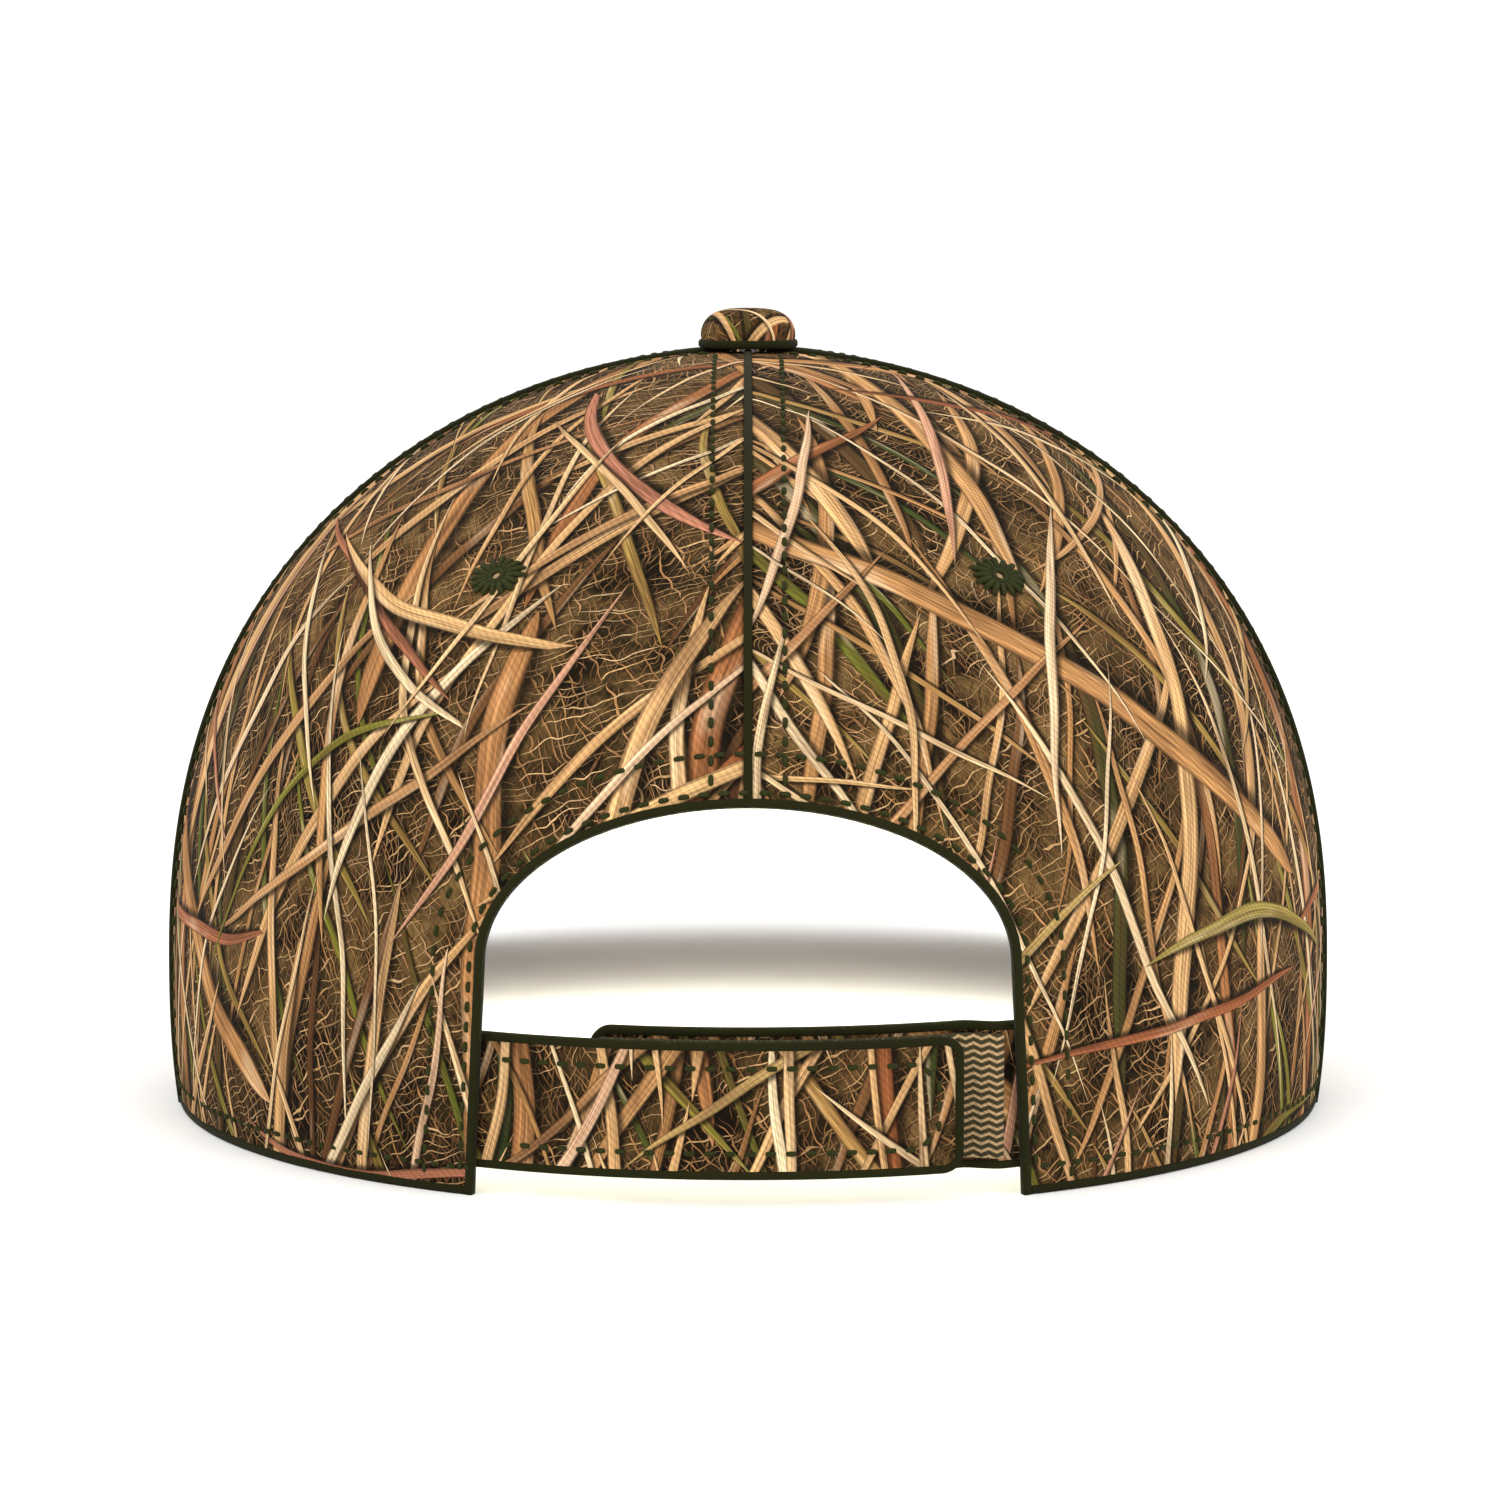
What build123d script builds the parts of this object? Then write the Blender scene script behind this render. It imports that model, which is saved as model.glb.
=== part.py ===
"""Six-panel field cap with a curved visor and a hook-and-loop strap across an arched rear opening.

Units are millimetres. +Z is up, the visor points along -Y and the wearer's left is +X. The origin is the
centre of the head opening, and z = 0 is the surface that the cap rests on. Every fabric piece of the crown is
a patch of one smooth crown surface, set in or out from it by an inset measured along the surface's normal.
"""

from build123d import *
from math import asin, atan2, cos, degrees, hypot, pi, radians, sin, sqrt
import os

# ---------------------------------------------------------------- driving dimensions
HALF_WIDTH = 87.85  # outer crown, at its widest
HALF_LENGTH = 102.0
CROWN_HEIGHT = 113.3
WIDEST_HEIGHT = 20.5  # the wall leans in a little above and below this height
HEIGHT_POWER = 2.37  # superellipse power of the crown's profile
SIDE_POWER = 2.0
FRONT_POWER = 2.9  # the structured front stands up straighter than the back

PANEL_THICK = 0.7
SEAM_WIDTH = 1.2  # dark piping in every crown seam
PIPING_PROUD = 0.35
GAP = 0.08  # left between pieces that are sewn edge to edge
SEAM_AZIMUTHS = {
    "front": -90.0,
    "left_front": -41.5,
    "left_rear": 8.0,
    "rear": 90.0,
    "right_rear": 172.0,
    "right_front": 221.5,
}
APEX_HOLE_RADIUS = 2.9  # where the panels and the piping stop, under the button

OPENING_HALF_WIDTH = 36.6  # arched rear opening
OPENING_FOOT_HALF_WIDTH = 38.2
OPENING_SPRING = 32.8  # height where the arch starts
OPENING_TOP = 55.0
BINDING_WIDTH = 1.2

EYELET_AZIMUTHS = {
    "front_left": -66.0,
    "side_left": -17.0,
    "back_left": 58.4,
    "back_right": 121.6,
    "side_right": 197.0,
    "front_right": 246.0,
}
EYELET_HEIGHT = 84.1
EYELET_RADIUS = 4.2
EYELET_HOLE_RADIUS = 0.9

SEAM_RISE = 27.0  # the visor's middle surface at the front seam
VISOR_PITCH = 0.055  # fall per millimetre forward
VISOR_WIDEST = 84.0
VISOR_WIDEST_Y = -95.0
VISOR_LENGTH = 72.5
VISOR_TIP = (78.0, -47.2)
BOARD_THICK = 1.8
COVER_THICK = 0.6
LAYER_GAP = 0.05

STRAP_BOTTOM = 3.8
OUTER_STRAP_TOP = 23.0
UNDER_STRAP_TOP = 24.5
STRAP_THICK = 1.2
STRAP_BINDING_PROUD = 0.25
STRAP_INSET = 2.1  # outer face of a strap where it is sewn behind the crown panel
UNDER_STRAP_INSET = 5.25  # outer face of the under strap where the outer one covers it
TAPE_THICK = 0.7
HINGE_X = 35.6  # where each strap leaves the crown
TAB_HINGE_X = -6.0
TAB_END_X = -29.7
UNDER_END_X = 22.6
HINGE_CLEARANCE = 1.05
TAB_CORNER_RADIUS = 3.0

SWEATBAND_INSET = 4.1
SWEATBAND_THICK = 1.2
SWEATBAND_HEIGHT = 32.0
SWEATBAND_END_AZIMUTH = 60.0
SEAM_TAPE_WIDTH = 12.0
SEAM_TAPE_INSET = 1.8
SEAM_TAPE_THICK = 0.5

BUTTON_RADIUS = 7.2
BUTTON_HEIGHT = 6.0

# ---------------------------------------------------------------- values that follow from them
DOME_RISE = CROWN_HEIGHT - WIDEST_HEIGHT
VISOR_HALF_STACK = BOARD_THICK / 2 + LAYER_GAP + COVER_THICK
LOWEST_VISOR_Z = VISOR_HALF_STACK + 0.05
VISOR_BEND = (SEAM_RISE + VISOR_PITCH * (VISOR_WIDEST_Y + HALF_LENGTH) - LOWEST_VISOR_Z) / VISOR_WIDEST**2
VISOR_FRONT_Y = -HALF_LENGTH - VISOR_LENGTH
TRIM_FLOOR = 0.05  # trim and lining stop just above what the panels rest on
RIM_FADE_FRONT_Y = -47.0  # behind this the rim comes down from the visor ...
RIM_FADE_REAR_Y = -12.0  # ... to the table
ARCH_OUTER = OPENING_HALF_WIDTH + BINDING_WIDTH
PARTS_FOLDER = "parts"


# ---------------------------------------------------------------- the crown surface
def fullness(height_share, power):
    """How far out the crown is at a share of its rise, from 1 at its widest to 0 at the apex."""
    return max(0.0, 1 - abs(height_share) ** HEIGHT_POWER) ** (1 / power)


def outer_point(azimuth, lift):
    """Point of the outer crown surface. Azimuth is in degrees from +X, lift is an angle in radians."""
    share = sin(lift)
    along_power = SIDE_POWER if sin(radians(azimuth)) > 0 else FRONT_POWER
    x = HALF_WIDTH * fullness(share, SIDE_POWER) * cos(radians(azimuth))
    y = HALF_LENGTH * fullness(share, along_power) * sin(radians(azimuth))
    return Vector(x, y, WIDEST_HEIGHT + DOME_RISE * share)


def outward(azimuth, lift):
    """Unit normal of the crown surface, pointing out."""
    step = 1e-3
    across = outer_point(azimuth + degrees(step), lift) - outer_point(azimuth - degrees(step), lift)
    up = outer_point(azimuth, lift + step) - outer_point(azimuth, lift - step)
    return across.cross(up).normalized()


def crown_point(azimuth, lift, inset=0.0):
    return outer_point(azimuth, lift) - outward(azimuth, lift) * inset


def lift_at_height(z):
    return asin((z - WIDEST_HEIGHT) / DOME_RISE)


def lift_at_radius(radius):
    """Lift of the circle of that radius round the apex, measured along X."""
    share = (1 - (radius / HALF_WIDTH) ** SIDE_POWER) ** (1 / HEIGHT_POWER)
    return asin(share)


def degrees_for(width, azimuth, lift):
    """How many degrees of azimuth a width in millimetres takes up there."""
    step = 0.01
    per_degree = (outer_point(azimuth + step, lift) - outer_point(azimuth - step, lift)).length / (2 * step)
    return width / per_degree


def visor_middle(x, y):
    """Height of the visor's middle surface."""
    return SEAM_RISE + VISOR_PITCH * (y + HALF_LENGTH) - VISOR_BEND * x**2


def rim_height(azimuth):
    """Lower edge of the crown: on the table behind, arched over the visor in front."""
    x = HALF_WIDTH * cos(radians(azimuth))
    y = HALF_LENGTH * sin(radians(azimuth))
    share = min(1.0, max(0.0, (RIM_FADE_REAR_Y - y) / (RIM_FADE_REAR_Y - RIM_FADE_FRONT_Y)))
    smooth = share * share * (3 - 2 * share)
    return smooth * max(0.0, visor_middle(x, y) - VISOR_HALF_STACK)


# ---------------------------------------------------------------- building blocks
def patch(left, right, bottom, top, inset, thick, across=11, up=15):
    """Solid patch of the crown. left and right give azimuths at a lift, bottom and top give lifts at an azimuth."""
    rows = []
    for i in range(across):
        share = i / (across - 1)
        middle_azimuth = left(0.0) + (right(0.0) - left(0.0)) * share
        low, high = bottom(middle_azimuth), top(middle_azimuth)
        row = []
        for j in range(up):
            lift = low + (high - low) * j / (up - 1)
            azimuth = left(lift) + (right(lift) - left(lift)) * share
            row.append(crown_point(azimuth, lift, inset))
        rows.append(row)
    face = Face.make_surface_from_array_of_points(rows, tol=1e-3, min_deg=3)
    centre = face.center()
    inward = Vector(0, 0, WIDEST_HEIGHT) - centre
    points_in = face.normal_at(centre).dot(inward) > 0
    if abs(right(0.0) - left(0.0)) > 180:  # the centre of a band that goes most of the way round isn't on it
        points_in = False
    return Solid.thicken(face, thick if points_in else -thick)


def above(z):
    """A block that holds everything over a height."""
    size = 600
    return Pos(0, 0, z + size / 2) * Box(size, size, size)


def one_solid(shape):
    """The largest solid of a cut, as a part on its own."""
    return Part(children=[]) + max(shape.solids(), key=lambda s: s.volume)


def opening_face(grow):
    """Outline of the rear opening in X and Z, grown by a margin: splayed jambs under a half ellipse."""
    half, foot = OPENING_HALF_WIDTH + grow, OPENING_FOOT_HALF_WIDTH + grow
    low = -20.0
    jamb_low = foot + (foot - half) * -low / OPENING_SPRING
    jambs = Polyline((half, OPENING_SPRING), (jamb_low, low), (-jamb_low, low), (-half, OPENING_SPRING))
    arch = EllipticalCenterArc((0, OPENING_SPRING), half, OPENING_TOP - OPENING_SPRING + grow, 0, arc_size=180)
    return make_face(Wire([*jambs.edges(), arch]))


def opening_prism(grow):
    """The rear opening's outline, run through the rear wall along Y."""
    rear = Plane((0, 40, 0), x_dir=(1, 0, 0), z_dir=(0, -1, 0))
    return extrude(rear * opening_face(grow), -HALF_LENGTH)


def eyelet_frames():
    """A plane at each eyelet, facing out of the crown."""
    lift = lift_at_height(EYELET_HEIGHT)
    frames = {}
    for panel, azimuth in EYELET_AZIMUTHS.items():
        place = outer_point(azimuth, lift)
        frames[panel] = Plane(place, z_dir=outward(azimuth, lift))
    return frames


def eyelet_cut(panel):
    """A plug through every layer at that panel's eyelet."""
    return eyelet_frames()[panel] * Cylinder(EYELET_RADIUS + GAP, 12)


# ---------------------------------------------------------------- crown pieces
def seam_side(seam, side, margin):
    """Azimuth beside a seam, margin millimetres to its side, as a function of lift."""
    azimuth = SEAM_AZIMUTHS[seam]

    def at(lift):
        return azimuth + side * degrees_for(margin, azimuth, min(lift, lift_at_radius(2.0)))

    return at


def unwrapped(azimuth_function, reference):
    """The same azimuth, taken round so that it lies within half a turn of a reference."""

    def at(lift):
        azimuth = azimuth_function(lift)
        while azimuth < reference - 180:
            azimuth += 360
        while azimuth > reference + 180:
            azimuth -= 360
        return azimuth

    return at


PANEL_SEAMS = {
    "front_left": ("front", "left_front"),
    "side_left": ("left_front", "left_rear"),
    "back_left": ("left_rear", "rear"),
    "back_right": ("rear", "right_rear"),
    "side_right": ("right_rear", "right_front"),
    "front_right": ("right_front", "front"),
}


def panel_patch(panel, bottom, top, inset, thick, margin, across=11):
    """Patch between the two seams of a panel, kept clear of them by a margin."""
    first, second = PANEL_SEAMS[panel]
    left = seam_side(first, 1, margin)
    right = unwrapped(seam_side(second, -1, margin), SEAM_AZIMUTHS[first] + 90)
    return patch(left, right, bottom, top, inset, thick, across)


def rim_lift(drop=0.0, rise=0.0):
    """Lift of the crown's lower edge. drop carries it below the table, where a cut will trim it flat."""

    def at(azimuth):
        rim = rim_height(azimuth)
        return lift_at_height(rim + rise - (drop if rim < 0.5 else 0.0))

    return at


def crown_panel(panel):
    """A gore of the crown, with its eyelet hole, and the rear opening cut from the two back ones."""
    margin = SEAM_WIDTH / 2 + GAP
    top = lift_at_radius(APEX_HOLE_RADIUS)
    gore = panel_patch(panel, rim_lift(drop=1.0), lambda azimuth: top, 0.0, PANEL_THICK, margin)
    gore = gore & above(0.0)
    gore = gore - eyelet_cut(panel)
    if panel.startswith("back"):
        gore = gore - opening_prism(BINDING_WIDTH + GAP)
    return one_solid(gore)


def front_stiffener(panel):
    """Buckram backing behind a front panel, stopping short of the apex and of the seams."""
    top = lift_at_radius(20.0)
    backing = panel_patch(panel, rim_lift(rise=1.0), lambda azimuth: top, PANEL_THICK + LAYER_GAP, 0.9, 1.5)
    return one_solid(backing - eyelet_cut(panel))


def seam_strip(seam, half_width, bottom, top, inset, thick):
    """Strip of the crown centred on a seam."""
    left, right = seam_side(seam, -1, half_width), seam_side(seam, 1, half_width)
    return patch(left, right, bottom, lambda azimuth: top, inset, thick, across=5)


def seam_piping(seam):
    """Dark cord sewn into a crown seam, a little proud of the panels."""
    over_visor = 2 * VISOR_HALF_STACK + 0.6 if "front" in seam else 0.0
    strip = seam_strip(
        seam,
        SEAM_WIDTH / 2,
        rim_lift(drop=1.0, rise=over_visor),
        lift_at_radius(APEX_HOLE_RADIUS),
        -PIPING_PROUD,
        PANEL_THICK + PIPING_PROUD,
    )
    strip = strip & above(TRIM_FLOOR)
    if seam == "rear":
        strip = strip - opening_prism(BINDING_WIDTH + GAP)
    return one_solid(strip)


def seam_tape(seam):
    """Tape that covers the seam allowance inside the crown, caught under the sweatband."""
    foot = (lambda azimuth: lift_at_height(OPENING_TOP + 9.0)) if seam == "rear" else rim_lift(rise=12.0)
    return Part(children=[]) + seam_strip(
        seam, SEAM_TAPE_WIDTH / 2, foot, lift_at_radius(16.0), SEAM_TAPE_INSET, SEAM_TAPE_THICK
    )


def rear_wall(inset, thick):
    """The crown's rear wall as a thick sheet, wide enough for everything round the opening."""
    return patch(
        lambda lift: 45.0,
        lambda lift: 135.0,
        rim_lift(drop=1.0),
        lambda azimuth: lift_at_height(80.0),
        inset,
        thick,
    )


def opening_binding():
    """Bias tape round the edge of the rear opening, from one lower corner over the arch to the other."""
    wall = rear_wall(-PIPING_PROUD, PANEL_THICK + PIPING_PROUD + 0.1) & above(TRIM_FLOOR)
    return one_solid((wall & opening_prism(BINDING_WIDTH)) - opening_prism(0.0))


def opening_facing():
    """Facing strip inside the opening, over the straps' roots, held by its second row of stitches."""
    wall = rear_wall(PANEL_THICK + 0.15, 0.5) & above(UNDER_STRAP_TOP + 1.0)
    return one_solid((wall & opening_prism(8.0)) - opening_prism(BINDING_WIDTH + GAP + 0.1))


def rim_binding(side):
    """Narrow tape along the lower edge of the crown, from the rear opening to the visor."""
    azimuths = {"left": (-25.5, 64.4), "right": (115.6, 205.5)}[side]
    band = patch(
        lambda lift: azimuths[0],
        lambda lift: azimuths[1],
        rim_lift(drop=1.0),
        lambda azimuth: lift_at_height(rim_height(azimuth) + BINDING_WIDTH),
        -PIPING_PROUD - LAYER_GAP,
        PIPING_PROUD,
        across=19,
        up=5,
    )
    band = band & above(TRIM_FLOOR)
    for seam in ("left_rear", "right_rear"):
        cut = seam_strip(seam, SEAM_WIDTH / 2 + GAP, rim_lift(drop=1.5), lift_at_height(9.0), -1.0, 2.0)
        band = band - cut
    band = band - opening_prism(BINDING_WIDTH + GAP)
    return Part(children=[]) + [s for s in band.solids() if s.volume > 0.5]


def sweatband():
    """Folded band round the inside of the head opening, ending each side of the rear opening."""
    return one_solid(
        patch(
            lambda lift: SWEATBAND_END_AZIMUTH - 300.0,
            lambda lift: SWEATBAND_END_AZIMUTH,
            rim_lift(rise=0.3),
            lambda azimuth: lift_at_height(rim_height(azimuth) + SWEATBAND_HEIGHT),
            SWEATBAND_INSET,
            SWEATBAND_THICK,
            across=41,
            up=7,
        )
        & above(TRIM_FLOOR)
    )


def sewn_eyelets():
    """Six embroidered ventilation eyelets, one in each panel."""
    depth = PANEL_THICK + 2 * PIPING_PROUD
    ring = Pos(0, 0, PIPING_PROUD - depth / 2) * (
        Cylinder(EYELET_RADIUS, depth) - Cylinder(EYELET_HOLE_RADIUS, depth)
    )
    ring = fillet(ring.edges().group_by(Axis.Z)[-1], 0.3)
    return Part(children=[]) + [frame * ring for frame in eyelet_frames().values()]


# ---------------------------------------------------------------- visor
def visor_plan(grow=0.0):
    """Plan outline of the visor, closed by a chord inside the crown."""
    tip_x, tip_y = VISOR_TIP
    right_side = [
        (tip_x + grow, tip_y),
        (82.6 + grow, -64.0),
        (VISOR_WIDEST + grow, -88.0),
        (80.6 + grow * 0.9, -118.0 - grow * 0.4),
        (66.0 + grow * 0.7, -147.0 - grow * 0.7),
        (38.0 + grow * 0.3, -167.4 - grow),
        (0.0, VISOR_FRONT_Y - grow),
    ]
    left_side = [(-x, y) for x, y in reversed(right_side[:-1])]
    edge = Spline(*right_side, *left_side)
    chord = Polyline((-tip_x - grow, tip_y), (0, -20), (tip_x + grow, tip_y))
    return make_face(Wire([edge, *chord.edges()]))


def visor_sheet(low, high):
    """Curved sheet between two heights from the visor's middle surface."""
    span, start_y = 100.0, -20.0

    def arch(height):
        ends = [(x, SEAM_RISE + VISOR_PITCH * (start_y + HALF_LENGTH) + height - VISOR_BEND * x**2)
                for x in (-span, 0.0, span)]
        (x0, z0), (_, z1), (x2, z2) = ends
        control = (0.0, 2 * z1 - (z0 + z2) / 2)
        return Bezier((x0, z0), control, (x2, z2))

    lower, upper = arch(low), arch(high)
    sides = [Line(lower @ 0, upper @ 0), Line(lower @ 1, upper @ 1)]
    section = make_face(Wire([lower, upper, *sides]))
    start = Plane((0, start_y, 0), x_dir=(1, 0, 0), z_dir=(0, -1, 0))
    reach = 200.0
    return extrude(start * section, reach, dir=(0, -1, -VISOR_PITCH))


def front_wall_block():
    """The crown's front wall, thickened inwards, to cut the visor to the surface it is sewn to."""
    return patch(
        lambda lift: -165.0,
        lambda lift: -15.0,
        lambda azimuth: lift_at_height(-6.0),
        lambda azimuth: lift_at_height(45.0),
        -0.1,
        14.0,
        across=31,
        up=9,
    )


def visor_layer(low, high, grow=0.0):
    """A layer of the visor, cut to its plan and to the crown it is sewn to."""
    plan = extrude(visor_plan(grow), 120, both=True)
    return one_solid((visor_sheet(low, high) & plan) - front_wall_block())


def visor_piping():
    """Cord between the two covers, along the visor's free edge."""
    half = BOARD_THICK / 2
    return one_solid(visor_layer(-half, half, 0.4) - extrude(visor_plan(-0.9), 120, both=True))


# ---------------------------------------------------------------- button
def button_seat():
    return CROWN_HEIGHT + PIPING_PROUD + 0.1


def button_cap(radius, height, thick):
    """Domed cap of even thickness: a short straight side under half an ellipse, turned about +Z."""

    def side(r, h):
        straight = h * 0.3
        angles = [radians(90 * i / 4) for i in range(5)]
        points = [(r * cos(a), straight + (h - straight) * sin(a)) for a in angles[:-1]]
        return Spline(*points, (0, h), tangents=[(0, 1), (-1, 0)])

    outer, inner = side(radius, height), side(radius - thick, height - thick)
    edges = [
        Line((radius - thick, 0), (radius, 0)),
        Line((radius, 0), outer @ 0),
        outer,
        Line(outer @ 1, inner @ 1),
        inner,
        Line(inner @ 0, (radius - thick, 0)),
    ]
    profile = make_face(Wire(edges))
    return Pos(0, 0, button_seat()) * revolve(Plane.XZ * profile, Axis.Z)


def button_pieces():
    """Covered button on top, its post through the crown and the clenched back inside."""
    cloth, metal, lip = 0.5, 0.6, 1.2
    under_cloth = cloth + LAYER_GAP
    post_top = button_seat() + BUTTON_HEIGHT - under_cloth - metal - 0.7
    back_top = CROWN_HEIGHT - SEAM_TAPE_INSET - SEAM_TAPE_THICK - 0.2
    post_length = post_top - back_top + 2.0
    post = Pos(0, 0, post_top - post_length / 2) * Cylinder(1.4, post_length)
    head = Pos(0, 0, post_top - 0.4) * Cylinder(3.0, 0.8)
    back = Pos(0, 0, back_top - 0.6) * Cylinder(6.5, 1.2)
    hub = Pos(0, 0, back_top - 1.6) * Cylinder(2.6, 2.0)
    bore = Pos(0, 0, back_top - 1.5) * Cylinder(1.4 + GAP, 5.0)
    ring = Pos(0, 0, button_seat() + lip / 2) * (
        Cylinder(BUTTON_RADIUS + 0.35, lip) - Cylinder(BUTTON_RADIUS + LAYER_GAP, lip)
    )
    return {
        "button_cover": button_cap(BUTTON_RADIUS, BUTTON_HEIGHT, cloth),
        "button_shell": button_cap(BUTTON_RADIUS - under_cloth, BUTTON_HEIGHT - under_cloth, metal),
        "button_post": post + head,
        "button_back": fillet((back + hub).edges().group_by(Axis.Z)[-1], 0.4) - bore,
        "button_base_ring": ring,
    }


# ---------------------------------------------------------------- straps
def strap_point(azimuth, inset):
    """Plan point inside the rear wall, at a distance from its widest outline."""
    angle = radians(azimuth)
    return ((HALF_WIDTH - inset) * cos(angle), (HALF_LENGTH - inset) * sin(angle))


def strap_azimuth(x, inset=STRAP_INSET + STRAP_THICK / 2):
    """Azimuth of the strap's middle line at a given x."""
    ratio = x / (HALF_WIDTH - inset)
    return 90.0 - degrees(asin(ratio))


def outer_strap_inset(azimuth):
    return STRAP_INSET


def under_strap_inset(azimuth):
    """The under strap starts in the same plane as the outer one and dips behind it."""
    start, end = strap_azimuth(-HINGE_X + 0.5), strap_azimuth(TAB_END_X - 0.8)
    share = min(1.0, max(0.0, (start - azimuth) / (start - end)))
    return STRAP_INSET + (UNDER_STRAP_INSET - STRAP_INSET) * share * share * (3 - 2 * share)


def strap_band(inset, thick, x_from, x_to, out=0.0):
    """Upright band along a strap's path, from its outer face inwards, between two x positions."""
    first, last = sorted((strap_azimuth(x_from), strap_azimuth(x_to)))
    between = [a / 2 for a in range(90, 271) if first + 0.4 < a / 2 < last - 0.4]
    azimuths = [first, *between, last]
    outer = Spline(*[strap_point(a, inset(a) - out) for a in azimuths])
    inner = Spline(*[strap_point(a, inset(a) + thick) for a in azimuths])
    ends = [Line(outer @ 0, inner @ 0), Line(outer @ 1, inner @ 1)]
    return extrude(make_face(Wire([outer, inner, *ends])), 40)


def strap_outline(x_from, x_to, top, shrink):
    """Rounded side view of a strap, run along Y. Only corners inside the band show."""
    width, height = abs(x_to - x_from) - 2 * shrink, top - STRAP_BOTTOM - 2 * shrink
    centre = ((x_from + x_to) / 2, (top + STRAP_BOTTOM) / 2)
    radius = TAB_CORNER_RADIUS - shrink
    rear = Plane((0, 60, 0), x_dir=(1, 0, 0), z_dir=(0, -1, 0))
    return extrude(rear * Pos(*centre) * RectangleRounded(width, height, radius), -70)


def strap_parts(inset, x_from, x_to, outline, top):
    """(cloth, binding) of one stretch of strap. outline gives the x ends of the whole rounded shape."""
    cloth = strap_band(inset, STRAP_THICK, x_from, x_to)
    cloth = cloth & strap_outline(*outline, top, BINDING_WIDTH + GAP)
    edge = strap_band(inset, STRAP_THICK + STRAP_BINDING_PROUD, x_from, x_to, STRAP_BINDING_PROUD)
    edge = (edge & strap_outline(*outline, top, 0.0)) - strap_outline(*outline, top, BINDING_WIDTH)
    return Part(children=[]) + cloth.solids(), Part(children=[]) + edge.solids()


def tape_on(inset, x_from, x_to, outline, top, face):
    """Hook or loop tape on a strap. face is how far its outer face lies inside the strap's outer face."""
    band = strap_band(lambda azimuth: inset(azimuth) + face, TAPE_THICK, x_from, x_to)
    return one_solid(band & strap_outline(*outline, top, BINDING_WIDTH + GAP + 0.3))


def strap_pieces():
    """Both straps, each with its sewn-in anchor, binding and tape."""
    far = 30.0  # carries an outline past the end of a stretch, so that its corners fall outside
    outer_outline = (HINGE_X + far, TAB_END_X)
    under_outline = (-HINGE_X - far, UNDER_END_X)
    anchor_x, hinge_gap = 51.0, HINGE_CLEARANCE
    behind = STRAP_THICK + LAYER_GAP
    pieces = {}
    outer = outer_strap_inset
    under = under_strap_inset
    anchor, anchor_edge = strap_parts(
        outer, anchor_x, HINGE_X + hinge_gap, outer_outline, OUTER_STRAP_TOP
    )
    pieces["outer_strap_anchor"] = anchor + anchor_edge
    pieces["outer_strap"], pieces["outer_strap_binding"] = strap_parts(
        outer, HINGE_X, TAB_HINGE_X + hinge_gap, outer_outline, OUTER_STRAP_TOP
    )
    pieces["strap_tab"], pieces["strap_tab_binding"] = strap_parts(
        outer, TAB_HINGE_X, TAB_END_X - 1, outer_outline, OUTER_STRAP_TOP
    )
    pieces["loop_tape"] = tape_on(
        outer, HINGE_X - 8, TAB_HINGE_X + hinge_gap, outer_outline, OUTER_STRAP_TOP, behind
    )
    pieces["tab_loop_tape"] = tape_on(
        outer, TAB_HINGE_X - 0.4, TAB_END_X - 1, outer_outline, OUTER_STRAP_TOP, behind
    )
    anchor, anchor_edge = strap_parts(
        outer, -anchor_x, -HINGE_X - hinge_gap, under_outline, UNDER_STRAP_TOP
    )
    pieces["under_strap_anchor"] = anchor + anchor_edge
    pieces["under_strap"], pieces["under_strap_binding"] = strap_parts(
        under, -HINGE_X, UNDER_END_X + 1, under_outline, UNDER_STRAP_TOP
    )
    pieces["hook_tape"] = tape_on(
        under, -HINGE_X + 0.8, UNDER_END_X + 1, under_outline, UNDER_STRAP_TOP, -TAPE_THICK - 0.15
    )
    return pieces


# ---------------------------------------------------------------- all pieces
def all_pieces():
    half = BOARD_THICK / 2
    pieces = {}
    for panel in PANEL_SEAMS:
        pieces[panel + "_panel"] = crown_panel(panel)
    for panel in ("front_left", "front_right"):
        pieces[panel + "_stiffener"] = front_stiffener(panel)
    for seam in SEAM_AZIMUTHS:
        pieces[seam + "_seam_piping"] = seam_piping(seam)
        pieces[seam + "_seam_tape"] = seam_tape(seam)
    pieces["opening_binding"] = opening_binding()
    pieces["opening_facing"] = opening_facing()
    for side in ("left", "right"):
        pieces["rim_binding_" + side] = rim_binding(side)
    pieces["sweatband"] = sweatband()
    pieces["sewn_eyelets"] = sewn_eyelets()
    pieces["visor_board"] = visor_layer(-half, half, -1.0)
    pieces["visor_top_cover"] = visor_layer(half + LAYER_GAP, VISOR_HALF_STACK)
    pieces["visor_under_cover"] = visor_layer(-VISOR_HALF_STACK, -half - LAYER_GAP)
    pieces["visor_piping"] = visor_piping()
    pieces.update(button_pieces())
    pieces.update(strap_pieces())
    return pieces


def main():
    os.makedirs(PARTS_FOLDER, exist_ok=True)
    for name, shape in all_pieces().items():
        export_step(shape, os.path.join(PARTS_FOLDER, name + ".step"))


if __name__ == "__main__":
    main()
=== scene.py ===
import random
from math import acos, asin, asinh, ceil, cos, degrees, floor, hypot, pi, radians, sin, sqrt

import bpy
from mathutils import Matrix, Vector, noise


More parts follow.
